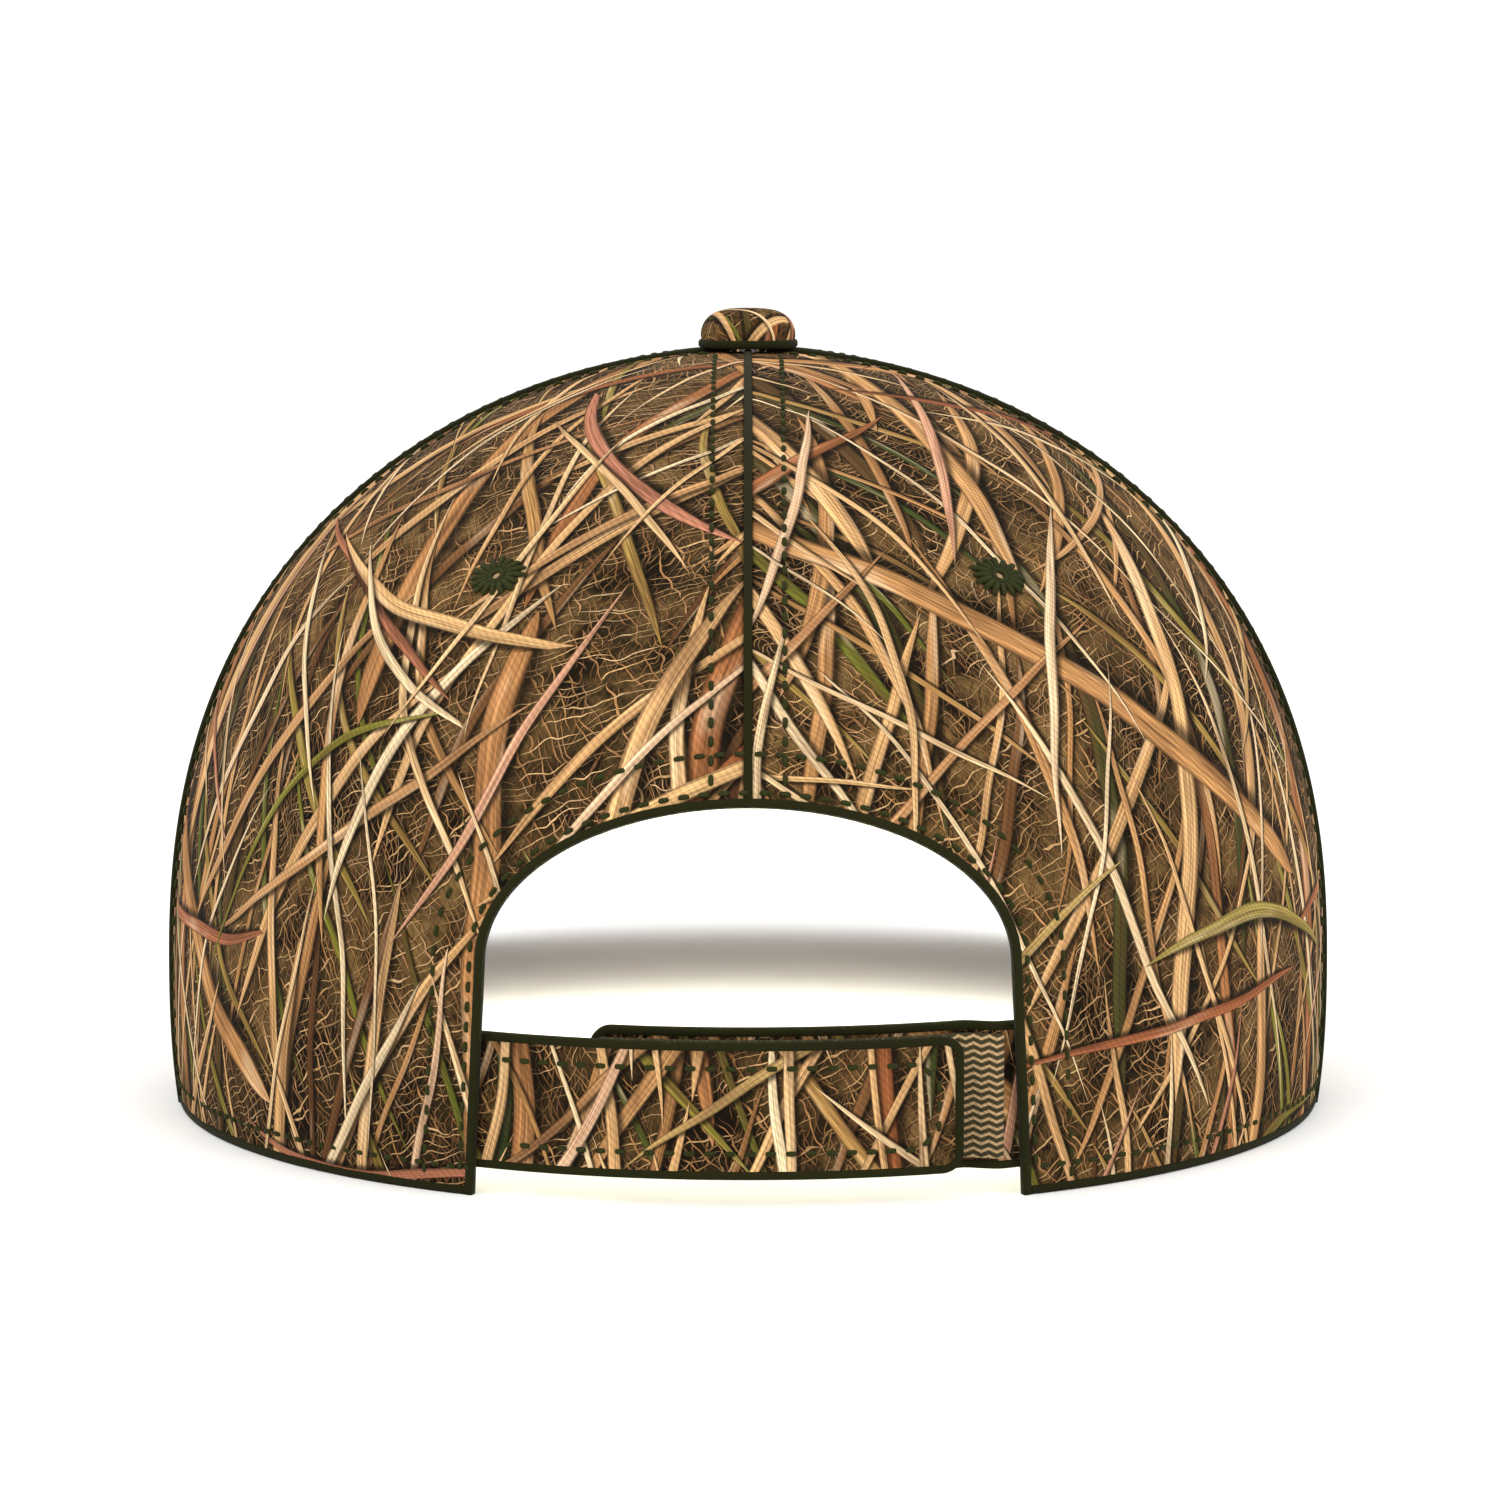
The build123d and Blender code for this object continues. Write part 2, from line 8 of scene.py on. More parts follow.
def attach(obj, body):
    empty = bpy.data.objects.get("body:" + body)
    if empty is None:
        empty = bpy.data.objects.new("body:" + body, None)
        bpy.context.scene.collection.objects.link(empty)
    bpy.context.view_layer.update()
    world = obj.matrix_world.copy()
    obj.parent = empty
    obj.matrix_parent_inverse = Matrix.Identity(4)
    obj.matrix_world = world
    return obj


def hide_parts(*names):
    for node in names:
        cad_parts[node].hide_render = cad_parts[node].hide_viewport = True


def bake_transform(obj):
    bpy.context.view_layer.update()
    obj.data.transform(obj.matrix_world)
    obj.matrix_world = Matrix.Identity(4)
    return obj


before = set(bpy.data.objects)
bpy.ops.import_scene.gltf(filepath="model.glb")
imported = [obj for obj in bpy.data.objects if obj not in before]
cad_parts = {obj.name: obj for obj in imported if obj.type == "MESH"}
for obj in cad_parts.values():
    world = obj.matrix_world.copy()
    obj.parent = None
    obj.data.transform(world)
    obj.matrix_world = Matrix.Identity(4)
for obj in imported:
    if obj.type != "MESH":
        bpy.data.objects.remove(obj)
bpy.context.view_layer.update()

bl_info = {
    "name": "Field Cap",
    "version": (1, 0, 0),
    "blender": (4, 5, 0),
    "location": "3D Viewport > Sidebar > Field Cap",
    "description": "Cloth, print, stitching and trim of a six-panel cap, built round its jointed frame",
    "category": "Add Mesh",
}

MM = 0.001

# ---------------------------------------------------------------- the cap's dimensions, in millimetres
HALF_WIDTH, HALF_LENGTH = 87.85, 102.0
CROWN_HEIGHT, WIDEST_HEIGHT = 113.3, 20.5
DOME_RISE = CROWN_HEIGHT - WIDEST_HEIGHT
HEIGHT_POWER, SIDE_POWER, FRONT_POWER = 2.37, 2.0, 2.9
PANEL_THICK = 0.7
SEAM_WIDTH = 1.2
SEAMS = {
    "front": -90.0,
    "left_front": -41.5,
    "left_rear": 8.0,
    "rear": 90.0,
    "right_rear": 172.0,
    "right_front": 221.5,
}
GORES = {
    "front_left": ("front", "left_front", -90.0, -41.5),
    "side_left": ("left_front", "left_rear", -41.5, 8.0),
    "back_left": ("left_rear", "rear", 8.0, 90.0),
    "back_right": ("rear", "right_rear", 90.0, 172.0),
    "side_right": ("right_rear", "right_front", 172.0, 221.5),
    "front_right": ("right_front", "front", 221.5, 270.0),
}
EYELETS = (-66.0, -17.0, 58.4, 121.6, 197.0, 246.0)
EYELET_HEIGHT = 84.1
OPENING_HALF, OPENING_FOOT, OPENING_SPRING, OPENING_TOP = 36.6, 38.2, 32.8, 55.0
VISOR_HALF_STACK = 1.55
SEAM_RISE, VISOR_PITCH = 27.0, 0.055
VISOR_BEND = (SEAM_RISE + VISOR_PITCH * 7.0 - 1.6) / 84.0**2
STRAP_BOTTOM, OUTER_TOP, UNDER_TOP = 3.8, 23.0, 24.5
STRAP_INSET, UNDER_INSET, STRAP_THICK = 2.1, 5.25, 1.2
HINGE_X, TAB_HINGE_X, TAB_END_X, UNDER_END_X = 35.6, -6.0, -29.7, 22.6
BUTTON_RADIUS, BUTTON_HEIGHT = 7.2, 6.0


# ---------------------------------------------------------------- the crown surface
def fullness(share, power):
    return max(0.0, 1 - abs(share) ** HEIGHT_POWER) ** (1 / power)


def outer_point(azimuth, lift):
    share, angle = sin(lift), radians(azimuth)
    along = SIDE_POWER if sin(angle) > 0 else FRONT_POWER
    x = HALF_WIDTH * fullness(share, SIDE_POWER) * cos(angle)
    y = HALF_LENGTH * fullness(share, along) * sin(angle)
    return Vector((x, y, WIDEST_HEIGHT + DOME_RISE * share))


def outward(azimuth, lift):
    step = 1e-3
    across = outer_point(azimuth + degrees(step), lift) - outer_point(azimuth - degrees(step), lift)
    up = outer_point(azimuth, lift + step) - outer_point(azimuth, lift - step)
    return across.cross(up).normalized()


def crown_point(azimuth, lift, inset=0.0):
    return outer_point(azimuth, lift) - outward(azimuth, lift) * inset


def lift_at_height(z):
    return asin(max(-1.0, min(1.0, (z - WIDEST_HEIGHT) / DOME_RISE)))


def lift_at_radius(radius):
    return asin((1 - (radius / HALF_WIDTH) ** SIDE_POWER) ** (1 / HEIGHT_POWER))


def mm_per_degree(azimuth, lift):
    step = 0.01
    return (outer_point(azimuth + step, lift) - outer_point(azimuth - step, lift)).length / (2 * step)


def visor_middle(x, y):
    return SEAM_RISE + VISOR_PITCH * (y + HALF_LENGTH) - VISOR_BEND * x * x


def rim_height(azimuth):
    x = HALF_WIDTH * cos(radians(azimuth))
    y = HALF_LENGTH * sin(radians(azimuth))
    share = min(1.0, max(0.0, (-12.0 - y) / 35.0))
    return share * share * (3 - 2 * share) * max(0.0, visor_middle(x, y) - VISOR_HALF_STACK)


def azimuth_at(x, z):
    """Azimuth on the crown's rear wall at an x and a height."""
    reach = HALF_WIDTH * fullness((z - WIDEST_HEIGHT) / DOME_RISE, SIDE_POWER)
    return degrees(acos(max(-1.0, min(1.0, x / reach))))


def arc_table(azimuth):
    """Length along the crown's profile from its rim line, at even lifts."""
    low, high, count = lift_at_height(0.0), pi / 2, 60
    table, length, last = [(low, 0.0)], 0.0, outer_point(azimuth, low)
    for i in range(1, count + 1):
        lift = low + (high - low) * i / count
        here = outer_point(azimuth, lift)
        length += (here - last).length
        table.append((lift, length))
        last = here
    return table


def arc_length(table, lift):
    low, high = table[0][0], table[-1][0]
    place = (lift - low) / (high - low) * (len(table) - 1)
    i = max(0, min(len(table) - 2, floor(place)))
    return table[i][1] + (table[i + 1][1] - table[i][1]) * (place - i)


# ---------------------------------------------------------------- the rear opening
def jamb_x(z, grow=0.0):
    return OPENING_HALF + grow + (OPENING_FOOT - OPENING_HALF) * (OPENING_SPRING - z) / OPENING_SPRING


def opening_path(grow, foot=0.0, step=0.7):
    """Points (x, z) round the opening, grown by a margin, from the wearer's left foot over the arch."""
    across, rise = OPENING_HALF + grow, OPENING_TOP - OPENING_SPRING + grow
    count = max(2, ceil((OPENING_SPRING - foot) / step))
    up = [foot + (OPENING_SPRING - foot) * i / count for i in range(count)]
    turns = max(8, ceil(pi * (across + rise) / 2 / step))
    arch = [pi * i / turns for i in range(turns + 1)]
    points = [(jamb_x(z, grow), z) for z in up]
    points += [(across * cos(a), OPENING_SPRING + rise * sin(a)) for a in arch]
    return points + [(-jamb_x(z, grow), z) for z in reversed(up)]


def in_opening(x, z, grow):
    if z <= OPENING_SPRING:
        return abs(x) < jamb_x(z, grow)
    return hypot(x / (OPENING_HALF + grow), (z - OPENING_SPRING) / (OPENING_TOP - OPENING_SPRING + grow)) < 1


def to_opening_edge(x, z, grow):
    """The point moved out to the opening's outline."""
    if z <= OPENING_SPRING:
        return (jamb_x(z, grow) if x >= 0 else -jamb_x(z, grow)), z
    across, rise = OPENING_HALF + grow, OPENING_TOP - OPENING_SPRING + grow
    share = hypot(x / across, (z - OPENING_SPRING) / rise)
    return x / share, OPENING_SPRING + (z - OPENING_SPRING) / share


# ---------------------------------------------------------------- mesh helpers
def build(name, points, faces, material, uvs=None, slots=None, materials=(), smooth=True):
    """Mesh object from points in millimetres. uvs are metres, one per point or one list per face."""
    mesh = bpy.data.meshes.new(name)
    mesh.from_pydata([tuple(p[k] * MM for k in range(3)) for p in points], [], faces)
    for one in (material, *materials):
        mesh.materials.append(one)
    if uvs:
        layer = mesh.uv_layers.new(name="Cloth")
        for loop in mesh.loops:
            layer.data[loop.index].uv = uvs[loop.vertex_index]
    for polygon in mesh.polygons:
        polygon.use_smooth = smooth and polygon.loop_total <= 8
        if slots:
            polygon.material_index = slots[polygon.index]
    mesh.validate()
    piece = bpy.data.objects.new(name, mesh)
    bpy.context.scene.collection.objects.link(piece)
    return piece


def grid_faces(rows, columns, close_rows=False, close_columns=False):
    faces = []
    for i in range(rows if close_rows else rows - 1):
        for j in range(columns if close_columns else columns - 1):
            a, b = i * columns + j, ((i + 1) % rows) * columns + j
            c = ((i + 1) % rows) * columns + (j + 1) % columns
            faces.append((a, b, c, i * columns + (j + 1) % columns))
    return faces


def thicken(piece, thick, offset=-1.0, inner_slot=0):
    modifier = piece.modifiers.new("Thickness", "SOLIDIFY")
    modifier.thickness = thick * MM
    modifier.offset = offset
    modifier.use_even_offset = False
    modifier.material_offset = inner_slot
    return piece


def crown_frames(places, inset=0.0):
    """(point, outward normal, side) along a path of (azimuth, lift) on the crown."""
    points = [crown_point(a, u, inset) for a, u in places]
    frames = []
    for i, (a, u) in enumerate(places):
        along = points[min(i + 1, len(points) - 1)] - points[max(i - 1, 0)]
        normal = outward(a, u)
        frames.append((points[i], normal, normal.cross(along).normalized()))
    return frames


def ribbon(name, frames, section, material, caps=True):
    """Sweeps a closed section of (side, height) pairs along frames."""
    points, uvs, length, around = [], [], 0.0, [0.0]
    for (s0, h0), (s1, h1) in zip(section, section[1:]):
        around.append(around[-1] + hypot(s1 - s0, h1 - h0))
    for i, (point, normal, side) in enumerate(frames):
        length += (point - frames[i - 1][0]).length if i else 0.0
        for (s, h), v in zip(section, around):
            points.append(point + side * s + normal * h)
            uvs.append((length * MM, v * MM))
    count = len(section)
    faces = grid_faces(len(frames), count, close_columns=True)
    if caps:
        faces.append(tuple(range(count)))
        faces.append(tuple(reversed(range(len(points) - count, len(points)))))
    return build(name, points, faces, material, uvs)


def cord_section(half, proud, deep, corners=10):
    """Section of a sewn cord or a folded tape: rounded over the top, flat below."""
    top = [(half * cos(pi * i / corners), proud * sin(pi * i / corners) ** 0.7) for i in range(corners + 1)]
    return top + [(-half, -deep), (half, -deep)]


class Thread:
    """Collects single stitches, each a short tapered bead that dips into the cloth at both ends."""

    SIDES = 6
    RINGS = ((-1.0, 0.35, -0.5), (-0.78, 0.85, 0.05), (-0.3, 1.0, 0.3), (0.3, 1.0, 0.3), (0.78, 0.85, 0.05),
             (1.0, 0.35, -0.5))

    def __init__(self, settings):
        self.points, self.faces = [], []
        self.length = settings.stitch_length / MM
        self.pitch = settings.stitch_pitch / MM
        self.radius = settings.stitch_width / MM / 2

    def stitch(self, middle, along, normal, length=None, radius=None):
        length, radius = length or self.length, radius or self.radius
        side, base = normal.cross(along).normalized(), len(self.points)
        for t, wide, rise in self.RINGS:
            centre = middle + along * (t * length / 2) + normal * (rise * radius)
            for k in range(self.SIDES):
                turn = 2 * pi * k / self.SIDES
                self.points.append(centre + (side * cos(turn) + normal * (0.75 * sin(turn))) * (radius * wide))
        for ring in range(len(self.RINGS) - 1):
            for k in range(self.SIDES):
                a, b = base + ring * self.SIDES + k, base + ring * self.SIDES + (k + 1) % self.SIDES
                self.faces.append((a, b, b + self.SIDES, a + self.SIDES))
        last = base + (len(self.RINGS) - 1) * self.SIDES
        self.faces.append(tuple(base + k for k in reversed(range(self.SIDES))))
        self.faces.append(tuple(last + k for k in range(self.SIDES)))

    def row(self, frames, skip=None):
        """Stitches at an even pitch along frames of (point, normal, side)."""
        walked, target = 0.0, self.pitch * 0.6
        for (p0, n0, _), (p1, n1, _) in zip(frames, frames[1:]):
            step = (p1 - p0).length
            while step > 1e-6 and walked + step >= target:
                share = (target - walked) / step
                middle = p0.lerp(p1, share)
                if not (skip and skip(middle)):
                    self.stitch(middle, (p1 - p0).normalized(), n0.lerp(n1, share).normalized())
                target += self.pitch
            walked += step

    def finish(self, name, material):
        return build(name, self.points, self.faces, material)


# ---------------------------------------------------------------- node helpers
def linear(red, green, blue):
    """Linear colour from 0-255 values."""
    values = [c / 255 for c in (red, green, blue)]
    return tuple(c / 12.92 if c <= 0.04045 else ((c + 0.055) / 1.055) ** 2.4 for c in values) + (1.0,)


class Graph:
    """Short ways to add nodes to a tree."""

    def __init__(self, tree):
        self.tree = tree

    def add(self, kind, **values):
        node = self.tree.nodes.new(kind)
        for key, value in values.items():
            setattr(node, key, value)
        return node

    def put(self, value, socket):
        if hasattr(value, "is_linked"):
            self.tree.links.new(value, socket)
        elif value is not None:
            socket.default_value = value[:3] if socket.type == "VECTOR" else value

    def math(self, operation, a, b=None, c=None, clamp=False):
        node = self.add("ShaderNodeMath", operation=operation, use_clamp=clamp)
        for value, socket in zip((a, b, c), node.inputs):
            self.put(value, socket)
        return node.outputs[0]

    def vector(self, operation, a, b=None, scale=None):
        node = self.add("ShaderNodeVectorMath", operation=operation)
        self.put(a, node.inputs[0])
        self.put(b, node.inputs[1])
        if scale is not None:
            self.put(scale, node.inputs["Scale"])
        return node.outputs["Value" if operation in ("DOT_PRODUCT", "LENGTH") else "Vector"]

    def combine(self, x, y, z=0.0):
        node = self.add("ShaderNodeCombineXYZ")
        for value, socket in zip((x, y, z), node.inputs):
            self.put(value, socket)
        return node.outputs[0]

    def split(self, vector):
        node = self.add("ShaderNodeSeparateXYZ")
        self.put(vector, node.inputs[0])
        return node.outputs

    def smooth(self, value, low, high, to_low=0.0, to_high=1.0):
        node = self.add("ShaderNodeMapRange", interpolation_type="SMOOTHSTEP")
        for item, socket in zip((value, low, high, to_low, to_high), node.inputs):
            self.put(item, socket)
        return node.outputs[0]

    def mix(self, factor, a, b, blend="MIX"):
        node = self.add("ShaderNodeMix", data_type="RGBA", blend_type=blend)
        self.put(factor, node.inputs["Factor"])
        self.put(a, node.inputs[6])  # 6 and 7 are the colour inputs, and 2 is the colour output
        self.put(b, node.inputs[7])
        return node.outputs[2]

    def noise(self, vector, scale, detail=2.0, roughness=0.5, dimensions="3D"):
        node = self.add("ShaderNodeTexNoise", noise_dimensions=dimensions)
        self.put(vector, node.inputs["Vector"])
        self.put(scale, node.inputs["Scale"])
        self.put(detail, node.inputs["Detail"])
        self.put(roughness, node.inputs["Roughness"])
        return node.outputs

    def random(self, vector):
        node = self.add("ShaderNodeTexWhiteNoise", noise_dimensions="3D")
        self.put(vector, node.inputs["Vector"])
        return node.outputs

    def group(self, group, **values):
        node = self.add("ShaderNodeGroup", node_tree=group)
        for key, value in values.items():
            self.put(value, node.inputs[key.replace("_", " ")])
        return node.outputs


def new_group(name, inputs, outputs):
    """An empty node group with named sockets. inputs are (name, kind, default), outputs (name, kind)."""
    kinds = {"float": "NodeSocketFloat", "vector": "NodeSocketVector", "color": "NodeSocketColor"}
    tree = bpy.data.node_groups.new(name, "ShaderNodeTree")
    for label, kind, default in inputs:
        socket = tree.interface.new_socket(label, in_out="INPUT", socket_type=kinds[kind])
        if default is not None:
            socket.default_value = default
    for label, kind in outputs:
        tree.interface.new_socket(label, in_out="OUTPUT", socket_type=kinds[kind])
    graph = Graph(tree)
    return tree, graph, graph.add("NodeGroupInput").outputs, graph.add("NodeGroupOutput").inputs


ORDER_HINT = 1e-8  # ties each layer to the one below, so that the renderer works them out one by one


def blade_layer_group():
    """One layer of grass blades over a picture below: a blade in each cell of a staggered, tilted grid."""
    tree, g, given, result = new_group(
        "Grass blade layer",
        [
            ("Vector", "vector", None),
            ("Below", "color", (0.1, 0.1, 0.1, 1)),
            ("Tilt", "float", 0.0),
            ("Cell Width", "float", 0.01),
            ("Cell Height", "float", 0.06),
            ("Blade Width", "float", 0.1),
            ("Lean", "float", 0.5),
            ("Density", "float", 0.7),
            ("Taper", "float", 2.6),
            ("Seed", "float", 0.0),
            ("Color A", "color", (0.5, 0.4, 0.3, 1)),
            ("Color B", "color", (0.5, 0.4, 0.3, 1)),
        ],
        [("Color", "color")],
    )
    chained = g.add("ShaderNodeVectorMath", operation="MULTIPLY_ADD")
    g.put(given["Below"], chained.inputs[0])
    g.put((ORDER_HINT,) * 3, chained.inputs[1])
    g.put(given["Vector"], chained.inputs[2])
    turn = g.add("ShaderNodeVectorRotate", rotation_type="Z_AXIS")
    g.put(chained.outputs[0], turn.inputs["Vector"])
    g.put(given["Tilt"], turn.inputs["Angle"])
    x, y, _ = g.split(turn.outputs[0])
    across = g.math("ADD", g.math("DIVIDE", x, given["Cell Width"]), given["Seed"])
    column = g.math("FLOOR", across)
    stagger = g.random(g.combine(column, given["Seed"], 3.7))["Value"]
    along = g.math("ADD", g.math("DIVIDE", y, given["Cell Height"]), stagger)
    row = g.math("FLOOR", along)
    cell = g.random(g.combine(column, row, given["Seed"]))
    r1, r2, r3 = g.split(cell["Color"])
    r0 = cell["Value"]
    fx = g.math("SUBTRACT", g.math("FRACT", across), 0.5)
    fy = g.math("MULTIPLY_ADD", g.math("FRACT", along), 2.0, -1.0)
    swing = g.math("MULTIPLY", g.math("SUBTRACT", r2, 0.5), given["Lean"])
    bow = g.math("MULTIPLY", g.math("SUBTRACT", r3, 0.5), g.math("MULTIPLY", given["Lean"], 0.6))
    bend = g.math("MULTIPLY", g.math("MULTIPLY_ADD", fy, fy, -0.35), bow)
    middle = g.math("MULTIPLY_ADD", g.math("SUBTRACT", r1, 0.5), 0.45, g.math("MULTIPLY_ADD", fy, swing, bend))
    taper = g.math("SUBTRACT", 1.0, g.math("POWER", g.math("ABSOLUTE", fy), given["Taper"]))
    width = g.math("MULTIPLY", g.math("MULTIPLY_ADD", r0, 0.7, 0.45), given["Blade Width"])
    width = g.math("MAXIMUM", g.math("MULTIPLY", width, taper), 1e-4)
    d = g.math("DIVIDE", g.math("SUBTRACT", fx, middle), width)
    far = g.math("ABSOLUTE", d)
    here = g.math("LESS_THAN", g.math("FRACT", g.math("MULTIPLY", r0, 7.31)), given["Density"])
    mask = g.math("MULTIPLY", g.smooth(far, 1.06, 0.9), here)
    cast = g.smooth(g.math("ABSOLUTE", g.math("SUBTRACT", d, 0.55)), 1.9, 0.7)
    shadow = g.math("MULTIPLY", g.math("MULTIPLY", cast, here), 0.8)
    below = g.mix(shadow, given["Below"], (0.010, 0.007, 0.004, 1))
    lengthwise = g.math("MULTIPLY", along, g.math("MULTIPLY", given["Cell Height"], 30.0))
    fibre = g.noise(g.combine(g.math("MULTIPLY", d, 2.4), lengthwise, r1), 2.0, 3.0, 0.75)["Fac"]
    blotch = g.noise(g.combine(g.math("MULTIPLY", d, 0.4), g.math("MULTIPLY", lengthwise, 1.6), r2), 1.0, 3.0)["Fac"]
    paint = g.mix(g.math("FRACT", g.math("MULTIPLY", r0, 3.17)), given["Color A"], given["Color B"])
    paint = g.mix(g.smooth(fibre, 0.38, 0.62, 0.5, 0.0), paint, (0.15, 0.062, 0.026, 1))
    paint = g.mix(g.smooth(blotch, 0.5, 0.72, 0.0, 0.6), paint, (0.12, 0.055, 0.028, 1))
    paint = g.mix(g.smooth(blotch, 0.46, 0.3, 0.0, 0.35), paint, (0.80, 0.62, 0.42, 1))
    edge = g.smooth(far, 0.62, 1.0, 1.0, 0.34)
    lit = g.math("MULTIPLY_ADD", d, -0.24, g.math("MULTIPLY_ADD", fibre, 0.9, 0.55))
    rib = g.smooth(far, 0.0, 0.16, 0.75, 1.0)
    light = g.math("MULTIPLY", g.math("MULTIPLY", lit, edge), rib)
    paint = g.vector("SCALE", paint, scale=light)
    g.put(g.mix(mask, below, paint), result["Color"])
    return tree


STRAW, CREAM = linear(222, 182, 130), linear(240, 218, 178)
TAN, PINK = linear(192, 146, 96), linear(196, 138, 112)
RUST, BROWN = linear(150, 92, 58), linear(92, 64, 40)
KHAKI, OLIVE = linear(132, 106, 66), linear(122, 126, 48)
GREEN, DEEP = linear(42, 74, 36), linear(36, 26, 15)

THATCH_LAYERS = 3  # the first layers of the print, whose fibres curl

# tilt in degrees, cell width and height in mm, half blade width and lean as shares of the cell, density, taper
# power (high for an even stem), colours
PRINT_LAYERS = (
    (12, 0.9, 10, 0.15, 1.3, 0.95, 2.6, KHAKI, BROWN),
    (-38, 1.1, 12, 0.13, 1.3, 0.9, 2.6, BROWN, TAN),
    (64, 1.2, 9, 0.11, 1.3, 0.85, 2.6, STRAW, KHAKI),
    (3, 15.0, 88, 0.10, 0.4, 0.6, 6.0, BROWN, GREEN),
    (-24, 14.0, 64, 0.075, 0.6, 0.6, 3.0, GREEN, OLIVE),
    (19, 13.0, 60, 0.085, 0.5, 0.65, 3.0, TAN, BROWN),
    (-2, 27.0, 118, 0.085, 0.22, 0.62, 14.0, TAN, RUST),
    (-36, 15.0, 58, 0.07, 0.6, 0.6, 3.0, TAN, OLIVE),
    (33, 17.0, 66, 0.07, 0.6, 0.6, 3.5, STRAW, TAN),
    (-12, 14.0, 70, 0.075, 0.7, 0.6, 3.0, STRAW, TAN),
    (9, 24.0, 96, 0.075, 0.4, 0.55, 6.0, STRAW, TAN),
    (-57, 78.0, 118, 0.036, 0.12, 0.4, 16.0, TAN, TAN),
    (50, 24.0, 74, 0.05, 0.7, 0.5, 3.0, STRAW, RUST),
    (-17, 17.0, 78, 0.05, 0.8, 0.6, 2.6, CREAM, STRAW),
    (27, 18.0, 62, 0.05, 0.9, 0.5, 2.6, CREAM, PINK),
    (-70, 34.0, 66, 0.032, 1.1, 0.45, 3.0, PINK, RUST),
    (76, 38.0, 62, 0.030, 1.1, 0.4, 3.0, STRAW, OLIVE),
    (-42, 19.0, 52, 0.032, 0.8, 0.5, 2.6, CREAM, STRAW),
    (2, 21.0, 60, 0.034, 0.9, 0.45, 2.6, CREAM, STRAW),
)


def print_group():
    """The whole marsh-grass print: many layers of blades over dry thatch in shadow."""
    tree, g, given, result = new_group(
        "Marsh grass print", [("Vector", "vector", None), ("Scale", "float", 1.0)], [("Color", "color")]
    )
    layer = blade_layer_group()
    at = g.vector("SCALE", given["Vector"], scale=given["Scale"])
    warp = g.noise(at, 28.0, 1.0)["Color"]
    at = g.vector("ADD", at, g.vector("SCALE", g.vector("SUBTRACT", warp, (0.5, 0.5, 0.5)), scale=0.006))
    curl = g.noise(at, 150.0, 2.0)["Color"]
    curled = g.vector("ADD", at, g.vector("SCALE", g.vector("SUBTRACT", curl, (0.5, 0.5, 0.5)), scale=0.0048))
    ground = g.noise(at, 120.0, 4.0, 0.7)["Fac"]
    patch = g.noise(at, 22.0, 2.0)["Fac"]
    color = g.mix(g.smooth(ground, 0.35, 0.7), DEEP, KHAKI)
    color = g.mix(g.smooth(patch, 0.4, 0.6, 0.1, 0.85), color, linear(26, 21, 12))
    for seed, (tilt, wide, high, blade, lean, density, taper, a, b) in enumerate(PRINT_LAYERS):
        color = g.group(
            layer,
            Vector=curled if seed < THATCH_LAYERS else at,
            Below=color,
            Tilt=radians(tilt),
            Cell_Width=wide * MM,
            Cell_Height=high * MM,
            Blade_Width=blade,
            Lean=lean,
            Density=density,
            Taper=taper,
            Seed=seed * 3.0 + 1.5,
            Color_A=a,
            Color_B=b,
        )["Color"]
    deeper = g.add("ShaderNodeGamma")
    g.put(color, deeper.inputs["Color"])
    deeper.inputs["Gamma"].default_value = 1.14
    g.put(g.vector("SCALE", deeper.outputs[0], scale=1.15), result["Color"])
    return tree


def weave_group():
    """Threads of a woven cloth: a height, and a tone for the gaps between threads."""
    tree, g, given, result = new_group(
        "Woven threads",
        [("Vector", "vector", None), ("Pitch", "float", 0.0006), ("Twill", "float", 1.0)],
        [("Height", "float"), ("Tone", "float")],
    )
    scaled = g.vector("SCALE", given["Vector"], scale=g.math("DIVIDE", 2 * pi, given["Pitch"]))
    x, y, _ = g.split(scaled)
    plain = g.math("MULTIPLY", g.math("SINE", x), g.math("SINE", y))
    diagonal = g.math("SINE", g.math("ADD", g.math("MULTIPLY", x, 0.5), g.math("MULTIPLY", y, 0.5)))
    mixed = g.add("ShaderNodeMix", data_type="FLOAT")
    g.put(given["Twill"], mixed.inputs[0])
    g.put(plain, mixed.inputs[2])
    g.put(g.math("MULTIPLY_ADD", plain, 0.3, g.math("MULTIPLY", diagonal, 0.7)), mixed.inputs[3])
    fuzz = g.noise(given["Vector"], 2500.0, 2.0)["Fac"]
    height = g.math("MULTIPLY_ADD", mixed.outputs[0], 0.5, fuzz)
    g.put(height, result["Height"])
    # Tone is painted shade: the colour is darkened down at the low points between threads
    g.put(g.smooth(mixed.outputs[0], -0.9, 0.4, 0.78, 1.0), result["Tone"])
    return tree


def worn_group():
    """Slow changes over a cloth: a tone for fading and handling, and a height for soft creases."""
    tree, g, given, result = new_group(
        "Handled cloth",
        [("Vector", "vector", None), ("Strength", "float", 0.15)],
        [("Tone", "float"), ("Height", "float")],
    )
    slow = g.noise(given["Vector"], 35.0, 3.0)["Fac"]
    crease = g.noise(given["Vector"], 140.0, 2.0)["Fac"]
    low = g.math("SUBTRACT", 1.0, given["Strength"])
    g.put(g.smooth(slow, 0.3, 0.7, low, 1.0), result["Tone"])
    g.put(crease, result["Height"])
    return tree


